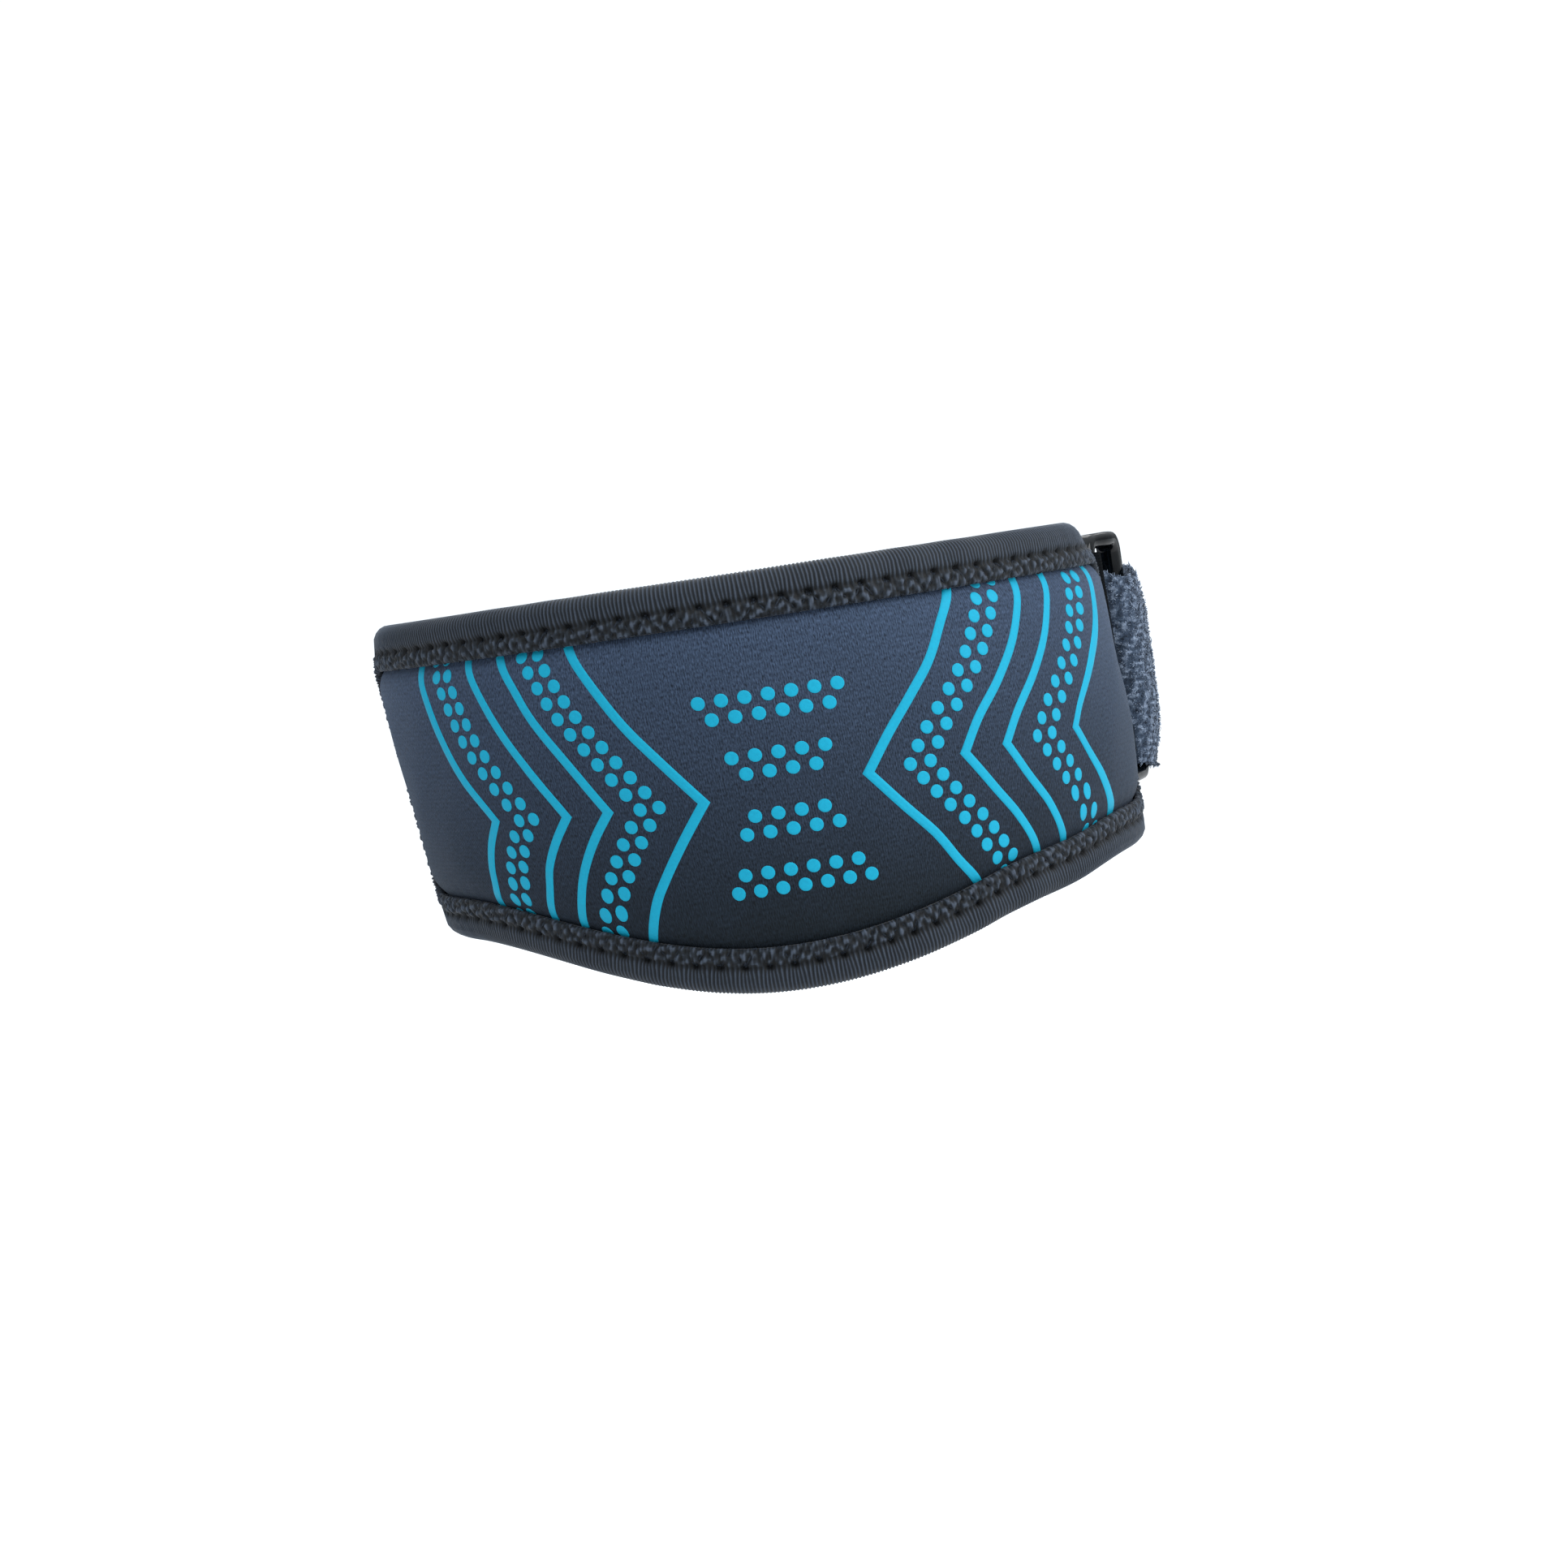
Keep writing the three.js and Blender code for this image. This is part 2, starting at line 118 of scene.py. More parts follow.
# The strap's outline from above: an arc across the front, a straight side as far back as the ring reaches, a
# rounded rear corner and a flatter arc across the back, drawn through the outside of the bound edge.
frontRadius = hollow["radius"] + wallOut
cornerRadius = hollow["cornerRadius"] + wallOut
frontArc = frontRadius * hollow["sideTurn"]
sideRun = rearBar[0] - frontArc
sideStart = frontRadius * facing(hollow["sideTurn"])
sideEnd = sideStart + sideRun * heading(hollow["sideTurn"])
cornerCentre = sideEnd - cornerRadius * facing(hollow["sideTurn"])
cornerEnd = cornerCentre + cornerRadius * facing(hollow["cornerTurn"])
backRadius = cornerEnd[0] / sin(hollow["cornerTurn"])
backCentre = cornerEnd - backRadius * facing(hollow["cornerTurn"])
cornerArc = cornerRadius * (hollow["cornerTurn"] - hollow["sideTurn"])
halfGirth = frontArc + sideRun + cornerArc + backRadius * (pi - hollow["cornerTurn"])


def worn(s, z, out):
    # Point of the closed strap: the outline's point at length s, moved along its normal by out, less the
    # thickness of the bound edge, plus the hollow's taper and the ring's toe, and shifted sideways by the
    # hollow's lean
    s, z, out = np.broadcast_arrays(np.asarray(s, float), np.asarray(z, float), np.asarray(out, float))
    side = (s + halfGirth) % (2 * halfGirth) - halfGirth
    length = np.abs(side)[..., None]
    corner, back = frontArc + sideRun, frontArc + sideRun + cornerArc
    onFront = length / frontRadius
    onCorner = hollow["sideTurn"] + (length - corner) / cornerRadius
    onBack = hollow["cornerTurn"] + (length - back) / backRadius
    where = [length <= frontArc, length <= corner, length <= back]
    angle = np.select(where, [onFront, hollow["sideTurn"] + 0 * length, onCorner], onBack)[..., 0]
    normal = facing(angle)
    point = np.select(where, [frontRadius * normal,
                              sideStart + (length - frontArc) * heading(hollow["sideTurn"]),
                              cornerCentre + cornerRadius * normal], backCentre + backRadius * normal)
    rising = ease((side - panel["half"] + 2) / (frontBar[0] - ring["bar"] / 2 - panel["half"] + 1.6))
    toe = ring["toe"] * rising * (1 - ease((side - rearBar[0] - ring["bar"]) / strap["foldRun"]))
    reach = out - wallOut + toe * (z - ringMiddle) + hollow["taper"] * z / panel["height"]
    flat = point + normal * reach[..., None]
    sign = np.where(side < 0, -1.0, 1.0)
    return stack([sign * flat[..., 0] - hollow["lean"] * z / panel["height"], flat[..., 1], z], -1)


def sideDip(s, z):
    # The panel's right end sinks inwards above its middle, and both upper corners do: smooth steps over the
    # height times smooth steps along the strap
    right = panel["dip"] * rise(z, panel["dipUp"]) + panel["cornerDip"] * rise(z, panel["cornerUp"])
    left = panel["leftDip"] * rise(z, panel["leftUp"])
    return right * rise(s, panel["rightAlong"]) + left * rise(-s, panel["leftAlong"])


def lowerSag(s, z):
    # Left of its middle and at its right end the lower edge hangs lower than the plain bell: a small bell
    # and a smooth step, which fade out above the tape
    sag = panel["sag"] * exp(-((s - panel["sagAt"]) / panel["sagWidth"]) ** 2)
    sag = sag + panel["endSag"] * rise(s, panel["endSagAlong"])
    return sag * (1 - ease((z - lowerEdge(s) - tape["width"]) / panel["sagFade"]))


def panelPlace(s, z, out):
    # Point of the panel and of what lies on it, with its dips and its sag
    return worn(s, z - lowerSag(s, z), out - sideDip(s, z))


def makePiece(name, points, faces, uv=None, shade=None):
    # points (n, 3) in millimetres, faces a list of whole index arrays, one for each number of corners.
    # The faces are turned round if the signed volume comes out negative, so that they point outwards.
    points = points.reshape(-1, 3)
    volume = sum(np.einsum("ij,ij->", points[f[:, 0]], np.cross(points[f[:, i]], points[f[:, i + 1]]))
                 for f in faces for i in range(1, f.shape[1] - 1))
    if volume < 0:
        faces = [f[:, ::-1] for f in faces]
        uv = None if uv is None else [u[:, ::-1] for u in uv]
    corners = concatenate([f.ravel() for f in faces]).astype(np.int32)
    totals = concatenate([np.full(len(f), f.shape[1]) for f in faces]).astype(np.int32)
    mesh = bpy.data.meshes.new(name)
    mesh.vertices.add(len(points))
    mesh.vertices.foreach_set("co", (points * mm).astype(np.float32).ravel())
    mesh.loops.add(len(corners))
    mesh.loops.foreach_set("vertex_index", corners)
    mesh.polygons.add(len(totals))
    mesh.polygons.foreach_set("loop_start", concatenate([[0], np.cumsum(totals)[:-1]]).astype(np.int32))
    mesh.polygons.foreach_set("loop_total", totals)
    mesh.update(calc_edges=True)
    if uv is not None:
        layer = mesh.uv_layers.new(name="along")
        flat = concatenate([u.reshape(-1, 2) for u in uv])
        layer.data.foreach_set("uv", flat.astype(np.float32).ravel())
    if shade is not None:
        layer = mesh.attributes.new("shade", "FLOAT", "POINT")
        layer.data.foreach_set("value", np.clip(shade, 0, 1).astype(np.float32).ravel())
    mesh.polygons.foreach_set("use_smooth", np.full(len(totals), True))
    mesh.validate()
    piece = bpy.data.objects.new(name, mesh)
    bpy.context.collection.objects.link(piece)
    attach(piece, "root")
    print(f"{name}: {len(points)} points, {int((totals - 2).sum())} triangles")
    return piece


def gridFaces(rows, columns, closedRows, closedColumns, start=0):
    # Quads of a grid whose point (i, j) is number start + i * columns + j, with their corners' own (i, j)
    i = np.arange(rows if closedRows else rows - 1)[:, None]
    j = np.arange(columns if closedColumns else columns - 1)[None, :]
    i, j = [a.ravel() for a in np.broadcast_arrays(i, j)]
    ci = stack([i, i + 1, i + 1, i], -1)
    cj = stack([j, j, j + 1, j + 1], -1)
    return start + (ci % rows) * columns + cj % columns, ci, cj


def capFaces(columns, start):
    # Ladder of quads across a closed section of an even number of points, which closes a swept end
    k = np.arange(columns // 2 - 1)
    return start + stack([k, k + 1, columns - 2 - k, columns - 1 - k], -1)


def bothCaps(rows, columns, start=0):
    # The caps of a swept piece's first and last row
    last = start + (rows - 1) * columns
    return concatenate([capFaces(columns, start), capFaces(columns, last)[:, ::-1]])


def copies(faces, count, size):
    # The same faces for each of count copies, which have size points each
    return (faces[None] + size * np.arange(count)[:, None, None]).reshape(-1, faces.shape[1])


def sweptPiece(name, points, lengths, around, closed=False, shade=None):
    # A closed section carried along a path: points (rows, columns, 3), with the length along the path at each
    # row and round the section at each column and back at the first
    rows, columns = points.shape[:2]
    faces, ci, cj = gridFaces(rows, columns, closed, True)
    around = np.broadcast_to(around, (rows, columns + 1))
    uv = stack([lengths[ci], around[ci % rows, cj]], -1) * cm
    if not closed:
        caps = bothCaps(rows, columns)
        faces = concatenate([faces, caps])
        flat = stack([lengths[caps // columns], around[caps // columns, caps % columns]], -1) * cm
        uv = concatenate([uv, flat])
    return makePiece(name, points, [faces], [uv], shade)


# front panel
def lowerEdge(s):
    # A bell: the edge hangs lowest in front and rises by a half cosine wave to level ends
    t = np.minimum(np.abs(s) / panel["bellHalf"], 1)
    return -top + panel["lowerRise"] * (1 - cos(pi * t)) / 2


def lowerSlope(s):
    # Slope of that bell: its half sine wave
    t = pi * np.clip(s / panel["bellHalf"], -1, 1)
    return panel["lowerRise"] * pi * sin(t) / (2 * panel["bellHalf"])


def edgeDistance(s, z):
    # Distance to the panel's edge: the least of those to its end, lower and upper edge, and inside a corner
    # the corner radius less the distance to the corner's centre
    a = panel["half"] - np.abs(s)
    v = np.minimum((z - lowerEdge(s)) / np.sqrt(1 + lowerSlope(s) ** 2), top - z)
    inCorner = (a < cornerRound) & (v < cornerRound)
    return np.where(inCorner, cornerRound - np.hypot(cornerRound - a, cornerRound - v), np.minimum(a, v))


def panelFace(s, z):
    # Height of the padding's outside: level inside the tape, then a steep cubic roll and a low broad crown.
    # The stitching pulls it in a little beside the tape, once for each stitch, and slow waves make it uneven.
    d = edgeDistance(s, z)
    inward = d - tape["width"]
    roll = 1 - (1 - np.clip((inward + 0.1) / panel["rollDepth"], 0, 1)) ** 3
    broad = 1 - (1 - np.clip(inward / panel["broadRun"], 0, 1)) ** 2
    eachStitch = 0.5 + 0.5 * cos(2 * pi * s / tape["stitchPitch"])
    pull = panel["pull"] * exp(-((inward - 1.2) / 1.3) ** 2) * eachStitch
    waving = sin(s * 0.19 + 1.3) * sin(z * 0.23 + s * 0.05) + 0.5 * sin(s * 0.41 - z * 0.3)
    ripple = panel["ripple"] * ease((d - 8) / 6) * waving
    return padFace + panel["roll"] * roll + panel["broad"] * broad - pull + ripple


def makePanel():
    # For each length s the section is a loop: up the outside, over the edge, down the inner side. Heights
    # are spaced by a half cosine, closest at the edges.
    half, radius = panel["half"] - padEdge, cornerRound - padEdge
    bend = linspace(0, pi / 2, 16)[1:]
    right = half - radius + radius * sin(bend)
    s = concatenate([-right[::-1], linspace(-(half - radius), half - radius, 260), right])
    over = np.clip(np.abs(s) - (half - radius), 0, radius)
    lift = radius - np.sqrt(np.maximum(radius ** 2 - over ** 2, 0))
    low, high = lowerEdge(s) + padEdge + lift, top - padEdge - lift
    up = 0.5 - 0.5 * cos(pi * linspace(0, 1, 92))
    down = up[::-1]
    sf, zf = s[:, None] + 0 * up, mix(low[:, None], high[:, None], up)
    outside = panelPlace(sf, zf, panelFace(sf, zf))
    zb = mix(low[:, None], high[:, None], down)
    d = edgeDistance(sf, zb)
    inside = panelPlace(sf, zb, padEdge * (1 - ease((d - tape["width"] - 0.2) / 1.6)))
    points = concatenate([outside, inside], 1)
    around = concatenate([zf, zb + 200, zf[:, :1]], 1)  # the inner side has its own stretch of the UV map
    piece = sweptPiece("crowned_panel", points, s, around)
    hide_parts("front_panel")
    return piece


# printed lines and dots: low relief that stands lift above the cloth and has its foot and sole below it, and
# widens from both "along" places to the panel's ends
printed = dict(lineWidth=1.56, dotSize=2.04, lift=0.07, foot=-0.08, sole=-0.1, dotSides=16, wideRight=0.55,
               rightAlong=(52, 12), wideLeft=0.15, leftAlong=(45, 15))
# Control points of the lines (s, height above the lower edge's middle), from the top down
arms = {
    "left1": [(-28.6, 56.5), (-27.9, 54.0), (-24.5, 47.0), (-21.4, 41.5), (-17.9, 36.5), (-12.2, 28.8),
              (-16.9, 23.1), (-20.6, 18.4), (-23.5, 14.4), (-26.3, 9.8), (-27.9, 7.0)],
    "left2": [(-41.4, 56.5), (-40.3, 53.9), (-38.3, 49.5), (-36.1, 44.6), (-32.2, 38.2), (-26.8, 29.2),
              (-30.1, 25.5), (-33.0, 21.5), (-35.3, 17.4), (-37.4, 13.2), (-38.6, 10.0)],
    "left3": [(-48.0, 56.5), (-47.0, 53.6), (-44.9, 48.3), (-42.1, 42.5), (-38.3, 36.4), (-33.9, 29.2),
              (-37.1, 25.6), (-39.7, 22.0), (-41.1, 18.7), (-42.9, 14.9), (-44.6, 11.5)],
    "left4": [(-60.6, 56.5), (-59.6, 53.4), (-58.4, 49.3), (-56.6, 43.4), (-53.5, 37.5), (-47.9, 29.6),
              (-50.9, 25.9), (-52.7, 22.5), (-53.5, 19.5), (-55.2, 16.6), (-57.0, 13.5)],
    "right1": [(32.2, 56.5), (30.8, 54.0), (28.0, 50.0), (24.5, 44.5), (20.3, 39.7), (15.9, 34.8),
               (11.7, 29.5), (16.0, 23.9), (20.1, 19.1), (23.3, 14.3), (26.9, 10.2), (29.4, 7.2)],
    "right2": [(45.0, 56.5), (44.1, 54.0), (42.4, 49.5), (39.6, 44.6), (35.4, 39.6), (30.5, 34.7),
               (27.1, 29.9), (31.2, 24.1), (34.7, 19.8), (37.6, 15.5), (39.7, 12.8), (42.0, 9.5)],
    "right3": [(52.2, 56.5), (51.3, 54.0), (49.6, 49.6), (46.8, 44.7), (42.6, 39.5), (37.8, 34.5),
               (34.6, 30.1), (38.1, 24.9), (41.4, 20.6), (44.1, 16.8), (46.6, 13.6), (49.0, 10.5)],
    "right4": [(70.0, 57.5), (68.6, 54.7), (66.3, 50.1), (63.5, 44.9), (58.3, 39.5), (53.1, 34.3),
               (50.5, 30.3), (54.3, 25.5), (58.4, 20.6), (62.6, 15.6), (64.6, 12.0)],
}
# Double dot columns between two lines: share of the way from the inner to the outer line, gap between the two
# dots of a pair and row pitch above and below the tip
dotColumns = [
    dict(inner="left1", outer="left2", share=0.55, gap=2.93, above=2.45, below=2.41),
    dict(inner="left3", outer="left4", share=0.53, gap=2.85, above=2.53, below=2.38),
    dict(inner="right1", outer="right2", share=0.515, gap=3.2, above=2.47, below=2.31),
    dict(inner="right3", outer="right4", share=0.512, gap=3.4, above=2.50, below=2.40),
]
centreRows = [  # dots, height, first and last s
    (7, 43.15, -9.95, 10.0), (6, 40.55, -8.5, 8.3), (5, 34.65, -6.95, 6.4), (4, 32.1, -5.4, 4.6),
    (4, 25.85, -5.5, 4.55), (5, 23.3, -7.2, 6.2), (6, 17.4, -8.8, 7.8), (7, 14.85, -10.4, 9.3),
]


def throughPoints(points, step):
    # Catmull-Rom curve through the points, at about even steps
    p = np.asarray(points, float)
    p = concatenate([[2 * p[0] - p[1]], p, [2 * p[-1] - p[-2]]])
    out = []
    for a, b, c, d in zip(p[:-3], p[1:-2], p[2:-1], p[3:]):
        t = linspace(0, 1, max(2, int(np.hypot(*(c - b)) / step) + 1))[:-1, None]
        out.append(0.5 * (2 * b + (c - a) * t + (2 * a - 5 * b + 4 * c - d) * t ** 2 +
                          (3 * b - a - 3 * c + d) * t ** 3))
    return concatenate(out + [p[-2:-1]])


def armCurve(name):
    # Both arms of a line, which meet in a sharp tip where s comes nearest to the middle
    points = arms[name]
    tip = int(np.argmin([abs(p[0]) for p in points]))
    upper = throughPoints(points[:tip + 1], 0.5)
    lower = throughPoints(points[tip:], 0.5)
    return upper, lower


def wider(s):
    # The print widens by a smooth step where the panel turns away, more at its right end
    return (1 + printed["wideRight"] * rise(s, printed["rightAlong"]) +
            printed["wideLeft"] * rise(-s, printed["leftAlong"]))


def makeLines():
    # A line is a low ridge draped along its curve: the section goes out along the normal of the curve, and
    # at a corner along the mean of two normals, lengthened to a mitre
    lift, foot, sole = printed["lift"], printed["foot"], printed["sole"]
    across = np.array([-1, -0.86, -0.3, 0.3, 0.86, 1, 0.4, -0.4]) * (printed["lineWidth"] / 2)
    height = np.array([foot, lift, lift * 1.1, lift * 1.1, lift, foot, sole, sole])
    columns = len(across)
    points, faces, start = [], [], 0
    for name in arms:
        upper, lower = armCurve(name)
        line = concatenate([upper, lower[1:]])
        nearTip = np.hypot(*(line - upper[-1]).T)
        line = line[(nearTip > 1.0) | (nearTip < 1e-6)]  # a clean mitre at the bend
        line[:, 1] -= top
        line = line[edgeDistance(line[:, 0], line[:, 1]) > tape["width"] - 1.2]
        ahead = unit(np.diff(line, axis=0))
        before, after = np.vstack([ahead[:1], ahead]), np.vstack([ahead, ahead[-1:]])
        normal = unit(stack([-(before + after)[:, 1], (before + after)[:, 0]], -1))
        spread = 1 / np.maximum(np.abs(normal[:, 0] * -after[:, 1] + normal[:, 1] * after[:, 0]), 0.6)
        spread = spread * wider(line[:, 0])
        s = line[:, :1] + normal[:, :1] * spread[:, None] * across
        z = line[:, 1:] + normal[:, 1:] * spread[:, None] * across
        points.append(panelPlace(s, z, panelFace(s, z) + height).reshape(-1, 3))
        grid, _, _ = gridFaces(len(line), columns, False, True, start)
        faces.append(concatenate([grid, bothCaps(len(line), columns, start)]))
        start += len(line) * columns
    return makePiece("printed_lines", concatenate(points), [concatenate(faces)])


def dotCentres():
    # Rows of pairs at even heights up and down from a column's tip, and rows of even steps in the middle
    centres = []
    for row in dotColumns:
        curves = [armCurve(row["inner"]), armCurve(row["outer"])]
        tipHeight = mix(curves[0][1][0][1], curves[1][1][0][1], row["share"])
        steps = np.arange(-8, 12)
        for height in tipHeight + steps * np.where(steps > 0, row["above"], row["below"]):
            arm = 0 if height >= tipHeight - 0.1 else 1
            s = []
            for c in curves:
                branch = c[arm][np.argsort(c[arm][:, 1])]
                s.append(np.interp(height, branch[:, 1], branch[:, 0]))
            middle = mix(s[0], s[1], row["share"])
            centres += [(middle + side * row["gap"], height - top) for side in (-0.5, 0.5)]
    for count, height, first, last in centreRows:
        centres += [(s, height - top) for s in linspace(first, last, count)]
    centres = np.array(centres)
    d = edgeDistance(centres[:, 0], centres[:, 1])
    return centres[d > tape["width"] - 0.42 * printed["dotSize"]]


def makeDots():
    # A dot is a low round button draped on the panel: circles of a profile, round each centre
    centres = dotCentres()
    lift, foot, sides = printed["lift"], printed["foot"], printed["dotSides"]
    turn = fullTurn(sides)
    radius = printed["dotSize"] / 2
    profile = [(0.5, foot), (0.98, foot), (1.0, lift * 0.4), (0.9, lift), (0.6, lift * 1.1),
               (0.25, lift * 1.1)]  # share of the radius and height above the cloth
    rings = []
    for share, height in profile:
        s = centres[:, :1] + radius * share * wider(centres[:, :1]) ** 0.6 * cos(turn)
        z = centres[:, 1:] + radius * share * sin(turn)
        rings.append(panelPlace(s, z, panelFace(s, z) + height))
    points = stack(rings, 1)
    count, levels = len(centres), len(profile)
    side, _, _ = gridFaces(levels, sides, False, True)
    disc = stack([np.arange(sides)[::-1] + sides * (levels - 1), np.arange(sides)])
    faces = [copies(part, count, sides * levels) for part in (side, disc)]
    return makePiece("printed_dots", points, faces)


# edge binding
def rimTable():
    # The panel's edge as one closed line: lower edge, right end, upper edge and left end with round corners.
    # Each place has its s and z and the angle that points into the panel.
    flat, low, high = panel["half"] - cornerRound, endLow + cornerRound, top - cornerRound
    s = linspace(-flat, flat, 2400)
    quarter = linspace(0, pi / 2, 240)
    parts = [(s, lowerEdge(s), pi / 2 + np.arctan(lowerSlope(s)))]

    def corner(cs, cz, start):
        a = start + quarter
        parts.append((cs + cornerRound * cos(a), cz + cornerRound * sin(a), a + pi))

    def straight(s0, z0, s1, z1, a):
        t = linspace(0, 1, 600)
        parts.append((mix(s0, s1, t), mix(z0, z1, t), a + 0 * t))

    corner(flat, low, -pi / 2)
    straight(panel["half"], low, panel["half"], high, pi)
    corner(flat, high, 0)
    straight(flat, top, -flat, top, 1.5 * pi)
    corner(-flat, high, pi / 2)
    straight(-panel["half"], high, -panel["half"], low, 2 * pi)
    corner(-flat, low, pi)
    table = concatenate([stack(p, -1) for p in parts])
    return lengthAlong(table[:, :2]), table


rimLength, rimRows = rimTable()
perimeter = rimLength[-1]


def rimPlace(u, depth, out):
    # The point at length u along the edge, depth inside it and out from the hollow's wall
    s, z, angle = [np.interp(u % perimeter, rimLength, rimRows[:, k]) for k in range(3)]
    return panelPlace(s + cos(angle) * depth, z + sin(angle) * depth, out)


stitchCount = int(round(perimeter / tape["stitchPitch"]))
stitchStep = perimeter / stitchCount


def knots(u, depth):
    # Unevenness of the sewn hem, from about -1 to 1: a sum of short waves in many directions, each a whole
    # number of times round the rim
    draw, count = np.random.default_rng(41), tape["knotWaves"]
    sizes, ways = draw.uniform(*tape["knotSize"], count), draw.uniform(0, 2 * pi, count)
    total = 0
    for size, way, phase in zip(sizes, ways, draw.uniform(0, 2 * pi, count)):
        cycles = np.round(cos(way) / size * perimeter)
        total = total + sin(2 * pi * (u * cycles / perimeter + depth * sin(way) / size) + phase)
    return np.clip(total / 3.6, -1, 1)


def makeTape():
    # A folded section carried round the edge: over the outside, round the edge, over the inner side and back
    # inside. Its outside is pushed out by a cosine for each rib, whose phase is pulled towards the stitch
    # holes, and pressed in by a bell at each hole and a row along them. Valleys run from each hole to either
    # side, where the zigzag's threads lie, and the hem is knotty between them.
    ribs = int(round(perimeter / tape["ribPitch"]))
    u = linspace(0, perimeter, ribs * 4, endpoint=False)
    middle, inset = wallOut / 2, tape["stitchInset"]
    roll = linspace(pi / 2, -pi / 2, 10)[1:-1]
    outer = np.array([7.02, 6.9, 6.55, 6.2, 5.85, 5.5, 5.15, 4.8, 4.5, 4.2, 3.9, 3.6, 3.2, 2.8])
    depth = concatenate([outer, 2.7 - 2.7 * cos(roll), [2.8, 4.8, 6.7, 6.95, 6.3, 1.2, 1.0, 1.2, 6.3]])
    outerOut = wallOut - 0.02 + 0.10 * sin(linspace(0, pi, 14))
    outerOut[:2] = wallOut - 0.85, wallOut - 0.25
    out = concatenate([outerOut, middle + (middle + 0.08) * sin(roll),
                       [-0.04, 0.0, 0.02, 0.5, 0.98, 1.0, middle, wallOut - 1, wallOut - 0.98]])
    outside = concatenate([[0.2, 0.7], np.ones(20), [0.5, 0.3, 0.3, 0], np.zeros(5)])  # share of relief
    tangentD, tangentO = np.gradient(depth), np.gradient(out)
    size = np.hypot(tangentD, tangentO)
    normalD, normalO = tangentO / size, -tangentD / size  # to the outside of the section
    u2, depth2 = np.meshgrid(u, depth, indexing="ij")
    hole = (u2 / stitchStep + 0.5) % 1 - 0.5
    below = depth2 - inset
    down = below / (tape["width"] - inset)  # 0 at the holes, 1 at the tape's inner edge
    hem = ease(below / 0.5) * ease((tape["width"] - depth2) / 0.3 + 0.3)
    gather = exp(-(below / 1.5) ** 2)
    phase = u2 * ribs / perimeter + tape["gather"] * sin(2 * pi * hole) * gather
    uneven = 0.8 + 0.25 * sin(u2 * 0.37 + sin(u2 * 0.11) * 3)
    ribWave = cos(2 * pi * phase)
    rib = (ribWave - 0.3) * tape["ribDepth"] * uneven * (1 - 0.6 * hem)
    knot = knots(u2, depth2) * hem
    press = exp(-(hole * stitchStep / tape["holeLong"]) ** 2 - (below / tape["holeHigh"]) ** 2)
    row = tape["rowDepth"] * exp(-(below / 0.5) ** 2)
    valley = hem * exp(-((np.abs(hole) - 0.5 * down) * stitchStep / tape["valleyWidth"]) ** 2)
    front = out > middle
    push = outside * (rib - front * (press * tape["stitchDepth"] + row + tape["hemRelief"] * valley -
                                     tape["knotDepth"] * knot - tape["hemRise"] * hem))
    points = rimPlace(u2, depth2 + normalD * push, out + normalO * push)
    around = lengthAlong(stack([depth, out], -1))
    # painted shade in the stitch holes, along their row and in the hem's valleys, a painted highlight on the
    # raised knots, and painted highlight on the ribs' ridges with painted shade in their grooves
    dark = 1.6 * press + 1.2 * row + 0.4 * valley - 0.48 * knot
    shade = 0.5 + 0.42 * ribWave * (1 - 0.6 * hem) - front * dark
    piece = sweptPiece("ribbed_tape", points, np.append(u, perimeter), np.append(around, around[-1] + 1),
                       closed=True, shade=shade)
    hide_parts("edge_binding")
    return piece


def tubes(path, radius, sides):
    # Round threads along many paths at once: path (n, rows, 3), with rings square to each path
    ahead = unit(np.gradient(path, axis=1))
    reference = np.zeros_like(ahead)
    reference[..., 2] = 1
    reference[np.abs(ahead[..., 2]) > 0.9] = (1, 0, 0)
    right = unit(np.cross(ahead, reference))
    up = np.cross(right, ahead)
    turn = fullTurn(sides)
    ringPoints = path[:, :, None] + radius * (right[:, :, None] * cos(turn)[:, None] +
                                              up[:, :, None] * sin(turn)[:, None])
    n, rows = path.shape[:2]
    grid, _, _ = gridFaces(rows, sides, False, True)
    return ringPoints, copies(concatenate([grid, bothCaps(rows, sides)]), n, rows * sides)


thread = dict(radius=0.19, sides=6, rows=8, start=0.3, reach=2.55, short=0.66, spread=0.88, low=4.3,
              arch=0.44)


def makeStitches():
    # A zigzag: from each hole one thread runs to either side, to where the next hole's thread ends, and a
    # shorter one lies between them. Each rises and falls by a sine and lies low in its valley of the hem.
    k = np.arange(stitchCount)[:, None, None]
    fan = np.array([-0.5, 0.02, 0.5])[None, :, None] * stitchStep
    t = linspace(0, 1, thread["rows"])[None, None, :]
    loose = rng.uniform(-0.3, 0.3, (stitchCount, 3, 1))
    short = np.array([1.0, thread["short"], 1.0])[None, :, None]
    u = k * stitchStep + (fan * 0.1) + (fan * thread["spread"] + loose) * t
    depth = tape["stitchInset"] + thread["start"] + thread["reach"] * short * t
    out = thread["low"] + thread["arch"] * sin(pi * t ** 0.8) + 0.06 * t + 0.25 * loose + 0 * u
    path = rimPlace(u, depth, out).reshape(stitchCount * 3, thread["rows"], 3)
    points, faces = tubes(path, thread["radius"], thread["sides"])
    return makePiece("binding_stitches", points, [faces])


# strap ring
def roundedLoop(width, length, radius, corner, side):
    # Rounded rectangle as (across, up) points: four quarter turns joined by straight sides
    x, y = width / 2 - radius, length / 2 - radius
    t = linspace(0, 1, side)[1:-1, None]
    arcs = []
    for k, (cx, cy) in enumerate([(x, y), (-x, y), (-x, -y), (x, -y)]):
        a = linspace(0, pi / 2, corner) + k * pi / 2
        arcs.append(stack([cx + radius * cos(a), cy + radius * sin(a)], -1))
    parts = [[arc, mix(arc[-1], after[0], t)] for arc, after in zip(arcs, arcs[1:] + arcs[:1])]
    return concatenate(sum(parts, []))


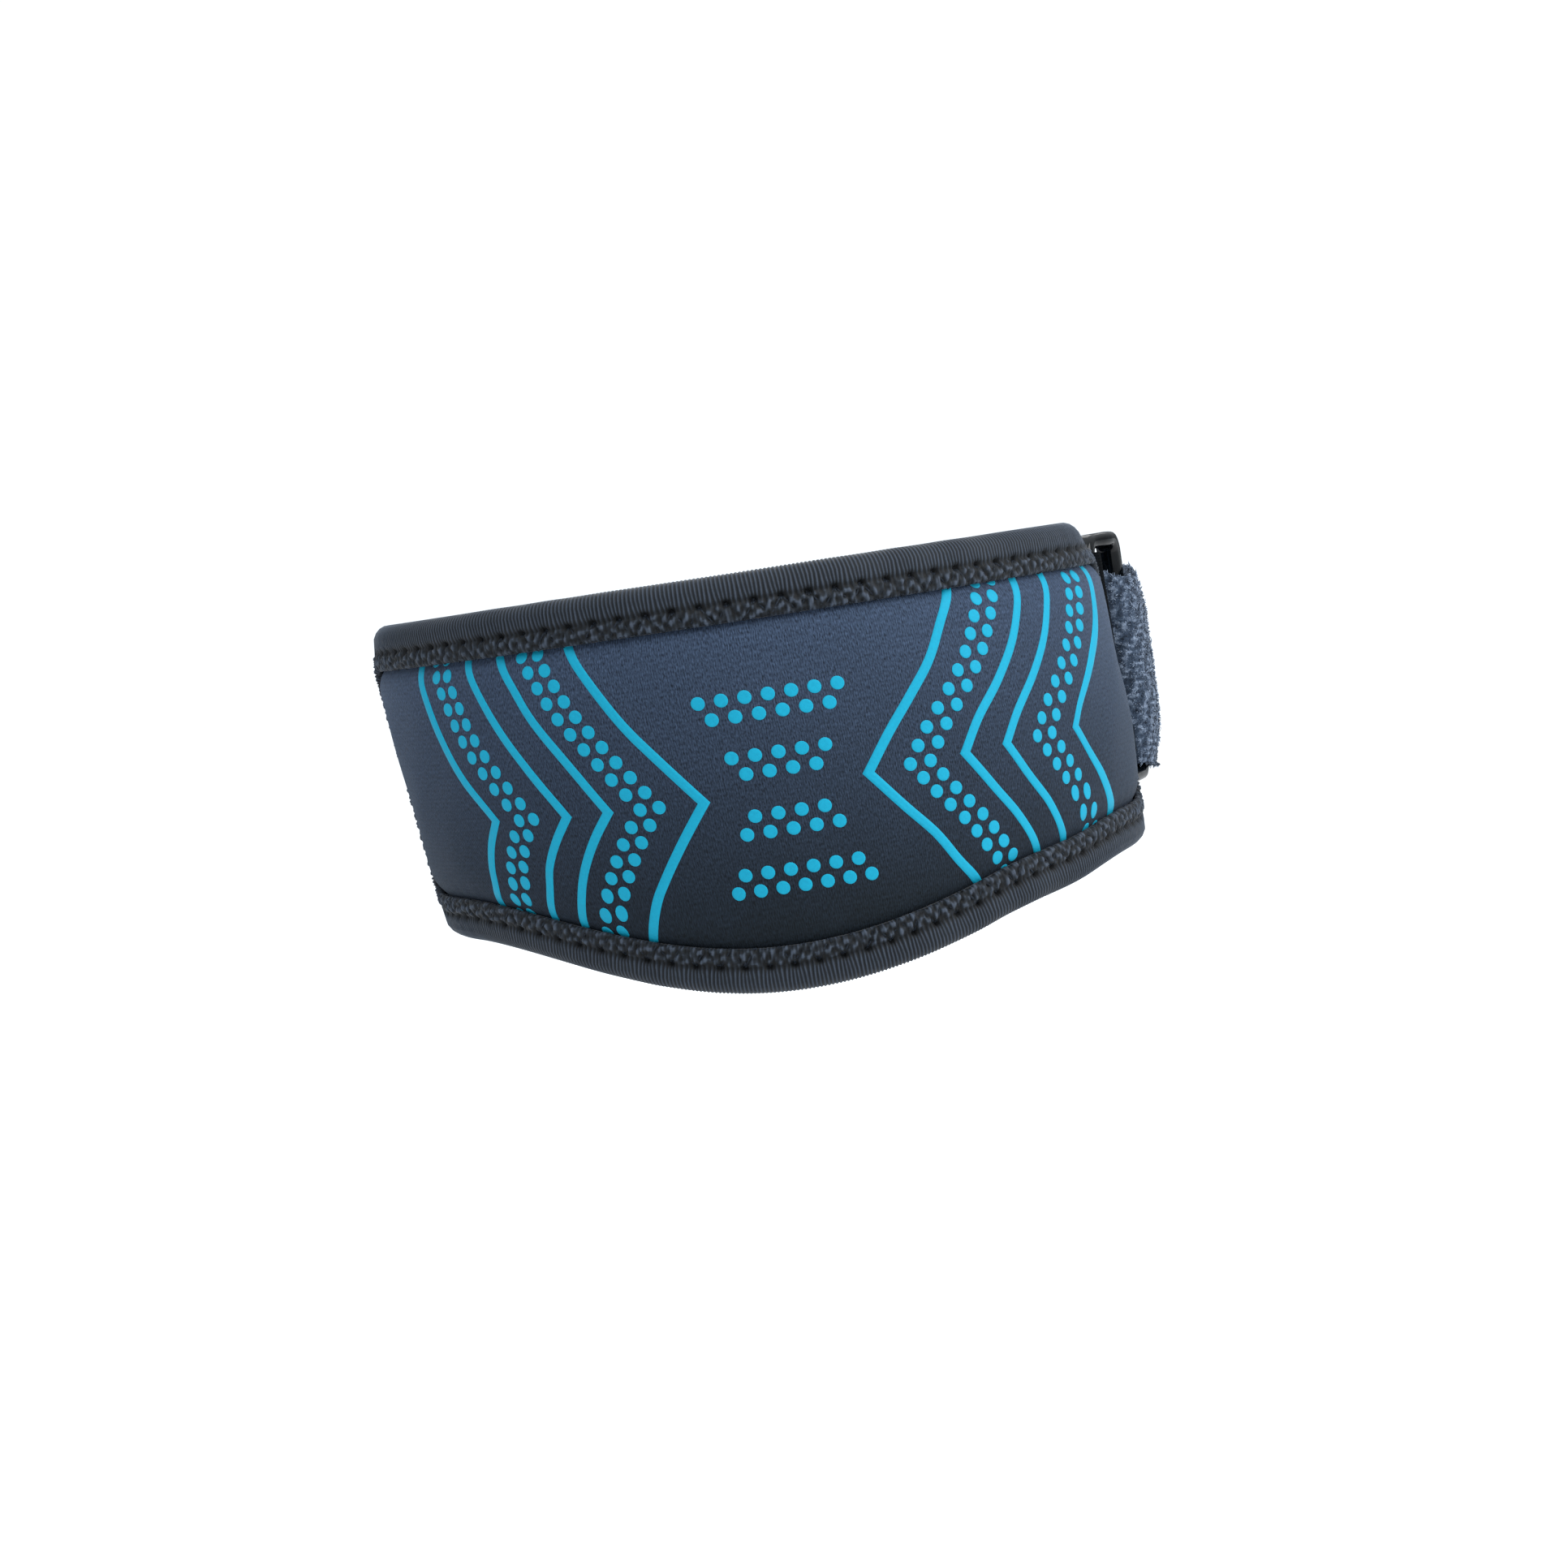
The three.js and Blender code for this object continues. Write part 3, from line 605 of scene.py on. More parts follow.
def barSink(s, z):
    # The strap's pull springs the front bar's upper end a little inwards: a smooth step over the height times
    # one along the strap
    return ring["spring"] * rise(z, ring["springUp"]) * (1 - rise(s - frontBar[0], ring["springAlong"]))


def makeRing():
    # A rounded section, a circle squared off by a power, between the outer and the inner rounded rectangle,
    # with a faint mould line outside
    outer = roundedLoop(ring["width"], ring["length"], ring["corner"], 14, 16)
    inner = roundedLoop(ring["width"] - 2 * ring["bar"], 2 * slotHalf, ring["corner"] / 3, 14, 16)
    turn, power = fullTurn(32), ring["squareness"]
    c, s = cos(turn), sin(turn)
    size = (np.abs(c) ** power + np.abs(s) ** power) ** (-1 / power)
    across, thick = (1 + c * size) / 2, s * size * ring["bar"] / 2
    across = across + ring["mouldLine"] * exp(-(thick / 0.12) ** 2) * (c > 0)
    flat = mix(inner[:, None], outer[:, None], across[None, :, None])
    middle = (np.array(frontBar) + np.array(rearBar)) / 2
    centre = worn(middle[0], ringMiddle, middle[1])
    up = unit(worn(middle[0], ringMiddle + 1, middle[1]) - centre)
    ahead = np.append(heading(hollow["sideTurn"] - ring["tilt"]), 0)
    ahead = unit(ahead - up * (ahead @ up))
    face = np.cross(ahead, up)
    points = centre + flat[..., :1] * ahead + flat[..., 1:] * up + thick[None, :, None] * face
    barS, barZ = middle[0] + flat[..., :1] * cos(ring["tilt"]), ringMiddle + flat[..., 1:]
    points = points - barSink(barS, barZ) * face
    lengths = lengthAlong(np.vstack([outer, outer[:1]]))
    piece = sweptPiece("gloss_ring", points, lengths, linspace(0, 12, 33), closed=True)
    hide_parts("strap_ring")
    return piece


# tab, plush strap and hook patch
strap = dict(width=36.8, thick=2.4, squeeze=1.6, tail=18.0, rest=0.2, fold=60.0, drop=1.6, foldRun=30.0,
             riseRun=26.0, stepRun=10.0, nose=2.3, shoulder=2.7, soften=14.0, lowerFall=0.95, upperFall=0.45)
hook = dict(thick=1.2, width=34.0, length=24.0, inset=1.5)
strapOut = strap["rest"] + strap["thick"] / 2  # middle of the layer that lies round the hollow
foldedOut = strap["rest"] + 1.5 * strap["thick"] + 2 * gap + hook["thick"]  # middle of the folded layer
turnRadius = wrap + strap["thick"] / 2
squeezedWidth = strap["width"] - strap["squeeze"]
slotZ = ringMiddle - slotHalf + gap + squeezedWidth / 2  # the strap lies low in the ring's slot


def signedPower(value, power):
    # Power of the size of a value, with the value's sign. It squares off a cosine or a sine.
    return np.sign(value) * np.abs(value) ** power


def ribbonPoints(path, across, up, widths, sink=None):
    # A section (across, up) carried along a path of (s, z, out), with up square to the path in s and out, and
    # across a share of half the path's own width there
    s, z, out = path[:, 0], path[:, 1], path[:, 2]
    ds, do = np.gradient(s), np.gradient(out)
    size = np.hypot(ds, do)
    ds, do = ds / size, do / size
    s, z, out = np.broadcast_arrays(s[:, None] - do[:, None] * up, z[:, None] + across * widths[:, None] / 2,
                                    out[:, None] + ds[:, None] * up)
    return worn(s, z, out if sink is None else out - sink(s, z))


def pathLength(path):
    # Length along the path, as it lies on the closed strap, at each of its rows
    return lengthAlong(worn(*path[:, :3].T))


def makeTab():
    # Woven tape: along the lower layer, round the ring's front bar and back along the upper layer, by a
    # curve through points of straight lines and of a circle. Its tail sinks with the panel's end, its loop
    # with the bar.
    half = tab["pulledThin"] * tab["thick"] / 2
    radius = wrap - tab["pulledIn"] + half
    tailOut = -gap - ring["toe"] * tab["width"] / 2
    tailStart = panel["half"] - tab["tail"]
    a = np.radians(linspace(-62, 208, 60))
    loop = stack([frontBar[0] + radius * cos(a), frontBar[1] + radius * sin(a)], -1)
    s = linspace(tailStart, panel["half"] - 1, 14)
    lower = stack(np.broadcast_arrays(s, tailOut - 1.5 * tab["thick"] - 0.03), -1)
    upper = stack(np.broadcast_arrays(s[::-1] + 0.4, tailOut - half), -1)
    route = throughPoints(concatenate([lower[::3], loop[::6], upper[::3]]), 0.4)
    route = stack(np.broadcast_arrays(route[:, 0], ringMiddle + tab["raised"], route[:, 1]), -1)
    turn = fullTurn(48)
    across, up = signedPower(cos(turn), 0.12), signedPower(sin(turn), 0.5) * half

    def sink(s, z):
        return mix(sideDip(s, z), barSink(s, z), ease((s - (panel["half"] - 1.4)) / 1.8))

    points = ribbonPoints(route, across, up[None], np.full(len(route), tab["width"]), sink)
    around = np.append(across * tab["width"] / 2, across[0])
    piece = sweptPiece("woven_tab", points, pathLength(route), around)
    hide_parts("ring_tab")
    return piece


def strapRoute(step):
    # Rows of (s, z, out, width): out from under the panel's left end, round the back, under the ring's rear
    # bar, round it in a half circle stretched towards the tab, and back over itself. Smooth steps join the
    # levels and the widths. Each run has a row for about every step of its length.
    w = strap["width"]
    bar = rearBar[0] - 2 * halfGirth
    lift = bar + strap["riseRun"]
    left = -panel["half"] - gap

    def run(length):
        return linspace(0, 1, int(length / step) + 1)[1:]

    def rows(s, z, out, width):
        return stack(np.broadcast_arrays(s, z, out, width), -1)

    underOut = -gap - strap["thick"] / 2
    free = -panel["half"] - strap["stepRun"] - gap
    t = run(20)
    parts = [rows(mix(strap["tail"] - panel["half"], left, t), endMiddle, underOut, w),
             rows(mix(left, free, t), endMiddle, mix(underOut, strapOut, ease(t)), w)]
    t = run(170)
    parts.append(rows(mix(free, lift, t), mix(endMiddle, slotZ, t), strapOut, w))
    t = run(30)
    parts.append(rows(mix(lift, bar, t), slotZ, mix(strapOut, rearBar[1] - turnRadius, ease(t)),
                      mix(w, squeezedWidth, ease(1.5 * t))))
    t = run(22)
    a = -pi / 2 - t * pi
    fall = ease((t - 0.6) / 0.8)
    parts.append(rows(bar + (turnRadius + strap["nose"]) * cos(a), slotZ - strap["drop"] * fall,
                      rearBar[1] + turnRadius * sin(a), mix(squeezedWidth, w, fall)))
    turnEnd = sum(len(p) for p in parts)
    t = run(62)
    fall = mix(0.5, 1, ease(t * 4))
    parts.append(rows(bar + t * strap["fold"], slotZ - strap["drop"] * fall,
                      mix(rearBar[1] + turnRadius, foldedOut, ease(t * strap["fold"] / strap["foldRun"])),
                      mix(squeezedWidth, w, fall)))
    route = concatenate(parts)
    # the upper edge slips down by a bell where the strap bends round the ring
    pull = strap["shoulder"] * exp(-((np.arange(len(route)) * step - (turnEnd * step - 9)) / 8) ** 2)
    route[:, 1] -= pull / 2
    route[:, 3] -= pull
    return route, turnEnd


# The pile and its ground cloth: clump is the height of the lumps, sunk how deep the ground lies in the pile,
# and otherSide shifts the lumps' pattern between the strap's two faces
pile = dict(clump=0.11, clumpSize=(1.0, 2.4), clumpWaves=16, sunk=0.2, otherSide=40, edgeShare=0.17,
            lean=0.32, stray=0.5, stand=0.6, foot=0.05, shortest=0.4, clumpTall=0.3, noseTall=0.25,
            noseRun=3.5, thin=0.06, thick=0.1, taper=0.85, tone=0.42, toneStray=0.13)
waves = rng.normal(0, 1, (pile["clumpWaves"], 2))
waves *= (2 * pi / rng.uniform(*pile["clumpSize"], len(waves)) / np.hypot(*waves.T))[:, None]
wavePhase = rng.uniform(0, 2 * pi, len(waves))


def clumps(length, across):
    # Lumps of the pile, from about -1 to 1: a sum of short waves in many directions
    total = sum(sin(length * k[0] + across * k[1] + p) for k, p in zip(waves, wavePhase))
    return np.clip(total / 4.2, -1, 1)


def strapSection(turn, folded):
    # Flat section with full, soft edges: powers of a cosine and a sine, a little thinner at the long edges.
    # Where the strap is folded back its outer face also slopes in towards the edges by smooth steps, most at
    # the lower one.
    c, s = cos(turn), sin(turn)
    across = signedPower(c, 0.3)
    up = signedPower(s, 0.6) * (1 - 0.25 * np.abs(across) ** 8)
    slope = strap["lowerFall"] * rise(-across, (0.36, 0.64)) + strap["upperFall"] * rise(across, (0.55, 0.45))
    up = np.where(up > 0, up * (1 - slope * folded) - 0.75 * slope * folded * np.abs(across) ** 5, up)
    return across * (1 - 0.055 * folded * (c > 0)), up


def makeStrap():
    # The plush's ground cloth, sunk in the pile that stands on it and raised in lumps, with painted shade
    # between the lumps and a painted highlight on them
    route, turnStart = strapRoute(0.66)
    edge = np.array([0, 0.08, 0.18, 0.3, 0.42, 0.55, 0.68])
    flat = linspace(0.91, -0.91, 56)  # even steps across the face
    face = concatenate([edge, np.arccos(signedPower(flat, 1 / 0.3)), pi - edge[:0:-1]])
    turn = concatenate([face, face + pi])
    length = pathLength(route)
    folded = ease((length - length[turnStart] + strap["soften"]) / strap["soften"])[:, None]
    across, up = strapSection(turn[None, :] + 0 * folded, folded)
    clump = clumps(length[:, None], across * strap["width"] / 2 + pile["otherSide"] * (up < 0))
    height = up * (strap["thick"] / 2 - pile["sunk"]) + np.sign(up) * pile["clump"] * clump
    points = ribbonPoints(route, across * (1 - 0.5 / strap["width"]), height, route[:, 3])
    # painted shade between the lumps and painted highlight on top of them
    shade = 0.5 + 0.3 * clump
    flat = signedPower(cos(turn), 0.3) * strap["width"] / 2
    piece = sweptPiece("plush_strap", points, length, np.append(flat, flat[0]), shade=shade)
    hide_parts("pull_strap")
    return piece


def makePile(name, start, end, count, side, reach):
    # Closed tapered hairs, each with a three-sided foot, a bent middle and a point. They stand on the lumps
    # of the ground cloth from share start to share end of its length, on one face and both edges. They lean
    # down the lumps' slopes and are taller on top of them, where they get a painted highlight.
    route, turnStart = strapRoute(0.5)
    length = pathLength(route)
    total = length[-1]
    l = rng.uniform(start, end, count) * total
    flat = rng.uniform(-0.99, 0.99, count)
    edge = rng.random(count) < pile["edgeShare"]
    angle = np.where(edge, rng.choice([0.0, pi], count) + rng.uniform(-0.9, 0.9, count),
                     side * np.arccos(signedPower(flat, 3.3)))
    folded = ease((l - length[turnStart] + strap["soften"]) / strap["soften"])
    across, up = strapSection(angle, folded)
    s, z, out, width = [np.interp(l, length, route[:, k]) for k in range(4)]
    ahead = [np.interp(l, length, np.gradient(route[:, k]) / np.gradient(length)) for k in (0, 2)]
    ds, do = np.array(ahead) / np.hypot(*ahead)

    def place(a, h, dl):
        # a across the strap, h above its middle and dl along it, from the hair's place
        return worn(s + ds * dl - do * h, z + a, out + do * dl + ds * h)

    layer = pile["otherSide"] * (up < 0)
    a0 = across * (width / 2 - 0.25)
    flatA = across * strap["width"] / 2
    clump = clumps(l, flatA + layer)
    near = 0.05  # a step for the lumps' slopes
    slopeA = (clumps(l, flatA + near + layer) - clump) / near
    slopeL = (clumps(l + near, flatA + layer) - clump) / near
    h0 = up * (strap["thick"] / 2 - pile["sunk"]) + np.sign(up) * pile["clump"] * clump
    nA = np.where(np.abs(across) > 0.93, np.sign(across), across * 0.1)
    nH = np.sign(up) * np.minimum(np.abs(up) * 1.6, 1)
    size = np.hypot(nA, nH) + 1e-6
    nA, nH = nA / size, nH / size
    nose = exp(-((l - length[turnStart]) / pile["noseRun"]) ** 2)
    tall = (reach * rng.uniform(pile["shortest"], 1.0, count) * (0.85 + pile["clumpTall"] * clump) *
            (1 + pile["noseTall"] * nose))
    leanA = -pile["lean"] * slopeA + rng.normal(0, pile["stray"], count)
    leanL = -pile["lean"] * slopeL + rng.normal(0, pile["stray"], count)
    stand = pile["stand"]
    foot = place(a0, h0 - pile["foot"] * nH, 0)
    bend, point = [place(a0 + (nA * stand + leanA * share) * tall, h0 + nH * stand * tall,
                         leanL * share * tall) for share in (0.45, 1.2)]
    ahead = unit(point - foot, 1e-9)
    side1 = unit(np.cross(ahead, rng.normal(0, 1, (count, 3))))
    side2 = np.cross(ahead, side1)
    thick = rng.uniform(pile["thin"], pile["thick"], count)[:, None, None]
    turn = (np.arange(3) * 2 * pi / 3)[None, :, None]
    around = cos(turn) * side1[:, None] + sin(turn) * side2[:, None]
    points = concatenate([foot[:, None] + around * thick, bend[:, None] + around * thick * pile["taper"],
                          point[:, None]], 1)
    quads = np.array([[0, 1, 4, 3], [1, 2, 5, 4], [2, 0, 3, 5]])
    tris = np.array([[3, 4, 6], [4, 5, 6], [5, 3, 6], [0, 2, 1]])
    level = np.array([0.0, 0.0, 0.0, 0.22, 0.22, 0.22, 0.3])  # painted shade at the foot and painted highlight towards the point
    # the random part is each hair's own tone; the clump part is a painted highlight on top of the lumps
    tones = pile["tone"] + 0.3 * clump + rng.normal(0, pile["toneStray"], count)
    tones = tones[:, None] + level[None] - 0.12
    faces = [copies(part, count, 7) for part in (quads, tris)]
    return makePiece(name, points, faces, shade=tones)


# where the hairs stand, how many, on the outer (1) or the inner (-1) face as the strap lies, and how tall
pileParts = {
    "plush_pile_fold": dict(start=0.735, end=0.995, count=19900, side=1, reach=0.42),
    "plush_pile_left": dict(start=0.075, end=0.42, count=12000, side=-1, reach=0.45),
    "plush_pile_right": dict(start=0.42, end=0.70, count=12000, side=-1, reach=0.45),
}


def makeHook():
    # A short straight ribbon between the strap's two layers
    end = rearBar[0] + strap["fold"] - hook["inset"]
    s = linspace(end - hook["length"], end, 60)
    out = strap["rest"] + strap["thick"] + gap + hook["thick"] / 2
    route = stack(np.broadcast_arrays(s, slotZ - strap["drop"], out), -1)
    turn = fullTurn(64)
    across, up = signedPower(cos(turn), 0.15), signedPower(sin(turn), 0.4) * hook["thick"] / 2
    points = ribbonPoints(route, across, up[None], np.full(len(s), hook["width"]))
    around = np.append(across * hook["width"] / 2, across[0])
    piece = sweptPiece("hook_patch", points, pathLength(route), around)
    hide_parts("hook_tab")
    return piece


# materials
# knitLow and knitHigh are one knit, with painted shade low down and painted sheen high up
colours = dict(knitLow=(4, 8, 11), knitLowPale=(27, 35, 43), knitHigh=(20, 28, 40),
               knitHighPale=(64, 79, 102), ink=(15, 138, 166), inkDeep=(11, 129, 157), tapeDark=(3, 5, 7),
               tape=(21, 27, 34), tapePale=(60, 69, 82), thread=(36, 43, 52), threadDark=(12, 15, 19),
               # weave colours: the webbing's own black, painted darker still as shade
               plastic=(4, 6, 8), scuff=(30, 36, 44), weaveDark=(2, 3, 4), weavePale=(9, 12, 15),
               plushDark=(14, 22, 34), plush=(50, 62, 78), plushPale=(132, 146, 166))


def tone(name):
    # A screen colour of 0 to 255 as linear light, and opaque
    c = np.array(colours[name]) / 255
    linear = np.where(c <= 0.04045, c / 12.92, ((c + 0.055) / 1.055) ** 2.4)
    return tuple(float(v) for v in linear) + (1.0,)


class Wire:
    # One output of a shader node. Sums and products of it add Math nodes.
    def __init__(self, nodes, socket):
        self.nodes, self.socket = nodes, socket

    def __add__(self, other):
        return self.nodes.math("ADD", self, other)

    def __radd__(self, other):
        return self.nodes.math("ADD", other, self)

    def __sub__(self, other):
        return self.nodes.math("SUBTRACT", self, other)

    def __rsub__(self, other):
        return self.nodes.math("SUBTRACT", other, self)

    def __mul__(self, other):
        return self.nodes.math("MULTIPLY", self, other)

    def __rmul__(self, other):
        return self.nodes.math("MULTIPLY", other, self)


class Nodes:
    # Adds nodes to a tree: type, settings, then socket values, links or names of colours
    def __init__(self, tree):
        self.tree = tree

    def node(self, kind, settings=None, sockets=None, output=0):
        made = self.tree.nodes.new("ShaderNode" + kind)
        for key, value in (settings or {}).items():
            setattr(made, key, value)
        for key, value in (sockets or {}).items():
            if isinstance(value, Wire):
                self.tree.links.new(value.socket, made.inputs[key])
            else:
                made.inputs[key].default_value = tone(value) if isinstance(value, str) else value
        return Wire(self, made.outputs[output])

    def math(self, operation, a, b=0.0):
        return self.node("Math", {"operation": operation}, {0: a, 1: b})

    def blend(self, share, a, b):
        return self.node("Mix", {"data_type": "RGBA"}, {0: share, 6: a, 7: b}, 2)

    def level(self, value, low, high, outLow=0.0, outHigh=1.0):
        return self.node("MapRange", {"clamp": True}, {0: value, 1: low, 2: high, 3: outLow, 4: outHigh})

    def ramp(self, value, **places):
        # colours by name, each at its place from 0 to 1
        made = self.node("ValToRGB", {}, {0: value})
        elements = made.socket.node.color_ramp.elements
        while len(elements) < len(places):
            elements.new(0.5)
        for element, (name, place) in zip(elements, places.items()):
            element.position, element.color = place, tone(name)
        return made

    def wave(self, value, cycles):
        # a sine from 0 to 1, so many times in one unit of the value
        return self.math("SINE", value * (cycles * 2 * pi)) * 0.5 + 0.5

    def lengths(self):
        # the piece's own lengths in centimetres, along the strap and across it
        return self.node("UVMap", {"uv_map": "along"})

    def halves(self, vector):
        # the two coordinates of a UV map, each by itself
        first = self.node("SeparateXYZ", {}, {0: vector})
        return first, Wire(self, first.socket.node.outputs[1])

    def shade(self):
        # the painted shade and highlight, with each hair's own tone, that makePiece stored at each point
        return self.node("Attribute", {"attribute_name": "shade"}, {}, 2)

    def place(self):
        # the piece's own coordinates, in metres
        return self.node("TexCoord", {}, {}, 3)

    def noise(self, vector, scale, detail=3.0, rough=0.55):
        # three scales stretch the noise by a Mapping node
        if isinstance(scale, tuple):
            vector, scale = self.node("Mapping", {}, dict(Vector=vector, Scale=scale)), 1.0
        return self.node("TexNoise", {}, dict(Vector=vector, Scale=scale, Detail=detail, Roughness=rough))

    def bump(self, height, distance, strength=1.0):
        return self.node("Bump", {}, dict(Height=height, Distance=distance, Strength=strength))


class Finish(Nodes):
    # A material: constants go on the shader's own sockets, and feed links what varies and gives the material
    def __init__(self, name, **constants):
        self.material = bpy.data.materials.new(name)
        self.material.use_nodes = True
        super().__init__(self.material.node_tree)
        self.shader = next(n for n in self.tree.nodes if n.type == "BSDF_PRINCIPLED")
        for key, value in constants.items():
            self.shader.inputs[key.replace("_", " ")].default_value = value

    def feed(self, **links):
        for key, wire in links.items():
            self.tree.links.new(wire.socket, self.shader.inputs[key.replace("_", " ")])
        return self.material


def knitFinish():
    # Fine jersey over foam: streaky loops in relief, a heather of pale and dark yarn, and a painted sheen of
    # the nap that lights it paler towards the upper edge and shades it darker towards the lower
    f = Finish("knit", Roughness=0.85, Specular_IOR_Level=0.12, Sheen_Weight=0.08, Sheen_Roughness=0.3,
               Sheen_Tint=(0.6, 0.75, 1.0, 1.0))
    uv = f.lengths()
    along, across = f.halves(uv)
    slip = f.noise(uv, (9, 9, 1), 2.0) * 0.03
    wales, courses = f.wave(along + slip, 28.0), f.wave(across + slip, 15.0)
    heather = f.noise(uv, (36, 13, 1), 2.0, 0.7)
    fleck = f.noise(uv, (62, 20, 1), 1.0, 0.5)
    cloud = f.noise(uv, (0.9, 0.9, 1))
    share = f.level(heather * 0.5 + fleck * 0.5 + wales * 0.07 + courses * 0.03, 0.38, 0.76)
    # painted sheen: from the shaded colours at the lower edge to the lit colours at the upper edge
    nap = f.level(across + cloud * 0.9, -1.7, 2.9)
    low = f.ramp(share, knitLow=0.0, knitLowPale=1.0)
    high = f.ramp(share, knitHigh=0.0, knitHighPale=1.0)
    loops = f.bump(wales * 0.4 + courses * 0.15 + heather * 0.9 + fleck * 0.4, 0.0001, 0.8)
    return f.feed(Base_Color=f.blend(nap, low, high), Normal=loops,
                  Roughness=f.level(heather, 0.3, 0.7, 0.75, 0.95))


def inkFinish():
    # Flat screen print that lets the knit show a little
    f = Finish("printed_ink", Roughness=0.6, Specular_IOR_Level=0.12)
    grain = f.noise(f.place(), 2600.0, 2.0)
    return f.feed(Base_Color=f.blend(f.level(grain, 0.3, 0.75), "inkDeep", "ink"),
                  Normal=f.bump(grain, 0.00004, 0.5), Roughness=f.level(grain, 0.3, 0.7, 0.5, 0.7))


def tapeFinish():
    # Ribbed tape: painted shade between the ribs and in the stitch holes, a dull shine and a painted
    # highlight on the ribs and knots, with loose yarn and faint dust
    f = Finish("ribbed_tape", Roughness=0.7, Specular_IOR_Level=0.2, Sheen_Weight=0.05, Sheen_Roughness=0.35)
    uv = f.lengths()
    yarn = f.noise(uv, (40, 9, 1), 3.0, 0.6)
    fleck = f.noise(uv, (55, 40, 1), 1.0)
    share = f.shade() * 0.8 + f.level(yarn * 0.7 + fleck * 0.3, 0.3, 0.7) * 0.2
    return f.feed(Base_Color=f.ramp(share, tapeDark=0.1, tape=0.5, tapePale=0.95),
                  Normal=f.bump(yarn, 0.00008, 0.6), Roughness=f.level(yarn, 0.3, 0.7, 0.55, 0.8))


def threadFinish():
    # Matt twisted yarn: fine plies in relief and slow patches of tone
    f = Finish("stitch_thread", Roughness=0.6, Specular_IOR_Level=0.12)
    xyz = f.place()
    ply = f.noise(xyz, 3500.0, 2.0)
    patch = f.noise(xyz, 300.0, 2.0)
    return f.feed(Base_Color=f.blend(f.level(ply * 0.6 + patch * 0.4, 0.35, 0.65), "threadDark", "thread"),
                  Normal=f.bump(ply, 0.00006, 0.7))


def plasticFinish():
    # Moulded black plastic under a thin gloss, with a faint orange peel and hair scratches
    f = Finish("gloss_plastic", Roughness=0.5, Specular_IOR_Level=0.0, Coat_Roughness=0.12,
               Coat_Tint=(0.8, 0.92, 1.0, 1.0))
    xyz = f.place()
    peel = f.noise(xyz, 500.0, 2.0)
    scuffed = f.level(f.noise(xyz, (3000, 300, 90), 2.0), 0.6, 0.72)
    return f.feed(Base_Color=f.blend(scuffed * 0.3, "plastic", "scuff"),
                  Normal=f.bump(peel + scuffed * 0.3, 0.00003, 0.35),
                  Coat_Weight=f.level(peel, 0.3, 0.7, 0.38, 0.48) - scuffed * 0.1)


def weaveFinish(name, warpCount, weftCount):
    # Plain weave: warp and weft over each other, with painted shade in the gap between them
    f = Finish(name, Roughness=0.9, Specular_IOR_Level=0.03)
    uv = f.lengths()
    along, across = f.halves(uv)
    warp, weft = f.wave(along, warpCount), f.wave(across, weftCount)
    height = f.math("MAXIMUM", warp, weft) + f.noise(uv, (20, 20, 1)) * 0.4
    return f.feed(Base_Color=f.ramp(f.level(height, 0.5, 1.4), weaveDark=0.0, weavePale=1.0),
                  Normal=f.bump(height, 0.0001, 0.8))


def plushGroundFinish():
    # The cloth between the hairs: dark, lumpy and matt, with painted shade between the lumps and a painted
    # highlight on them
    f = Finish("plush_ground", Roughness=0.95, Specular_IOR_Level=0.1, Sheen_Weight=0.1)
    fine = f.noise(f.place(), 2200.0, 3.0, 0.65)
    share = f.shade() * 0.7 + f.level(fine, 0.3, 0.7) * 0.3
    return f.feed(Base_Color=f.ramp(share, plushDark=0.1, plush=0.5, plushPale=0.9),
                  Normal=f.bump(fine, 0.0003, 0.8))


def plushHairFinish():
    # Each hair has its own tone, with painted shade at its foot and a painted highlight towards its point
    f = Finish("plush_hair", Roughness=0.75, Specular_IOR_Level=0.15, Sheen_Weight=0.1, Sheen_Roughness=0.35)
    return f.feed(Base_Color=f.ramp(f.shade(), plushDark=0.05, plush=0.45, plushPale=0.85))


def dress(piece, material):
    # The piece gets this material and no other
    piece.data.materials.clear()
    piece.data.materials.append(material)


pad = makePanel()
lines = makeLines()
dots = makeDots()
print("panel and print made")
binding = makeTape()
stitches = makeStitches()
print("binding made")
loop = makeRing()
tabPiece = makeTab()
print("ring and tab made")
plush = makeStrap()
hookPiece = makeHook()
hairs = [makePile(name, **row) for name, row in pileParts.items()]
print("plush strap made")

knit = knitFinish()
ink = inkFinish()
dress(pad, knit)
dress(lines, ink)
dress(dots, ink)
dress(binding, tapeFinish())
dress(stitches, threadFinish())
dress(loop, plasticFinish())
# the tab's near black is partly its black webbing and partly painted shade between panel and plush
dress(tabPiece, weaveFinish("tab_weave", 16.0, 20.0))
dress(hookPiece, weaveFinish("hook_weave", 9.0, 9.0))
dress(plush, plushGroundFinish())
hair = plushHairFinish()
for piece in hairs:
    dress(piece, hair)
print("materials made")

# floor, light and camera, in metres
studio = dict(floor=-0.115, reach=6.0, sky=2.1, ground=0.36, backdrop=1.15, floorTone=0.74,
              tint=(0.9, 0.95, 1.0))
lamps = {  # place, size and power
    "key": ((0.15, -0.6, 0.65), 0.5, 3.6),
    "right": ((0.7, -0.25, 0.3), 0.45, 4.5),
    "rear": ((0.1, 0.6, 0.55), 0.5, 2.5),
}
view = dict(distance=0.5, rise=np.radians(3.97), turn=np.radians(-1.9), roll=np.radians(8.66), lens=69.908,
            sensor=36, target=(0.00153, 0.0, -0.00485))


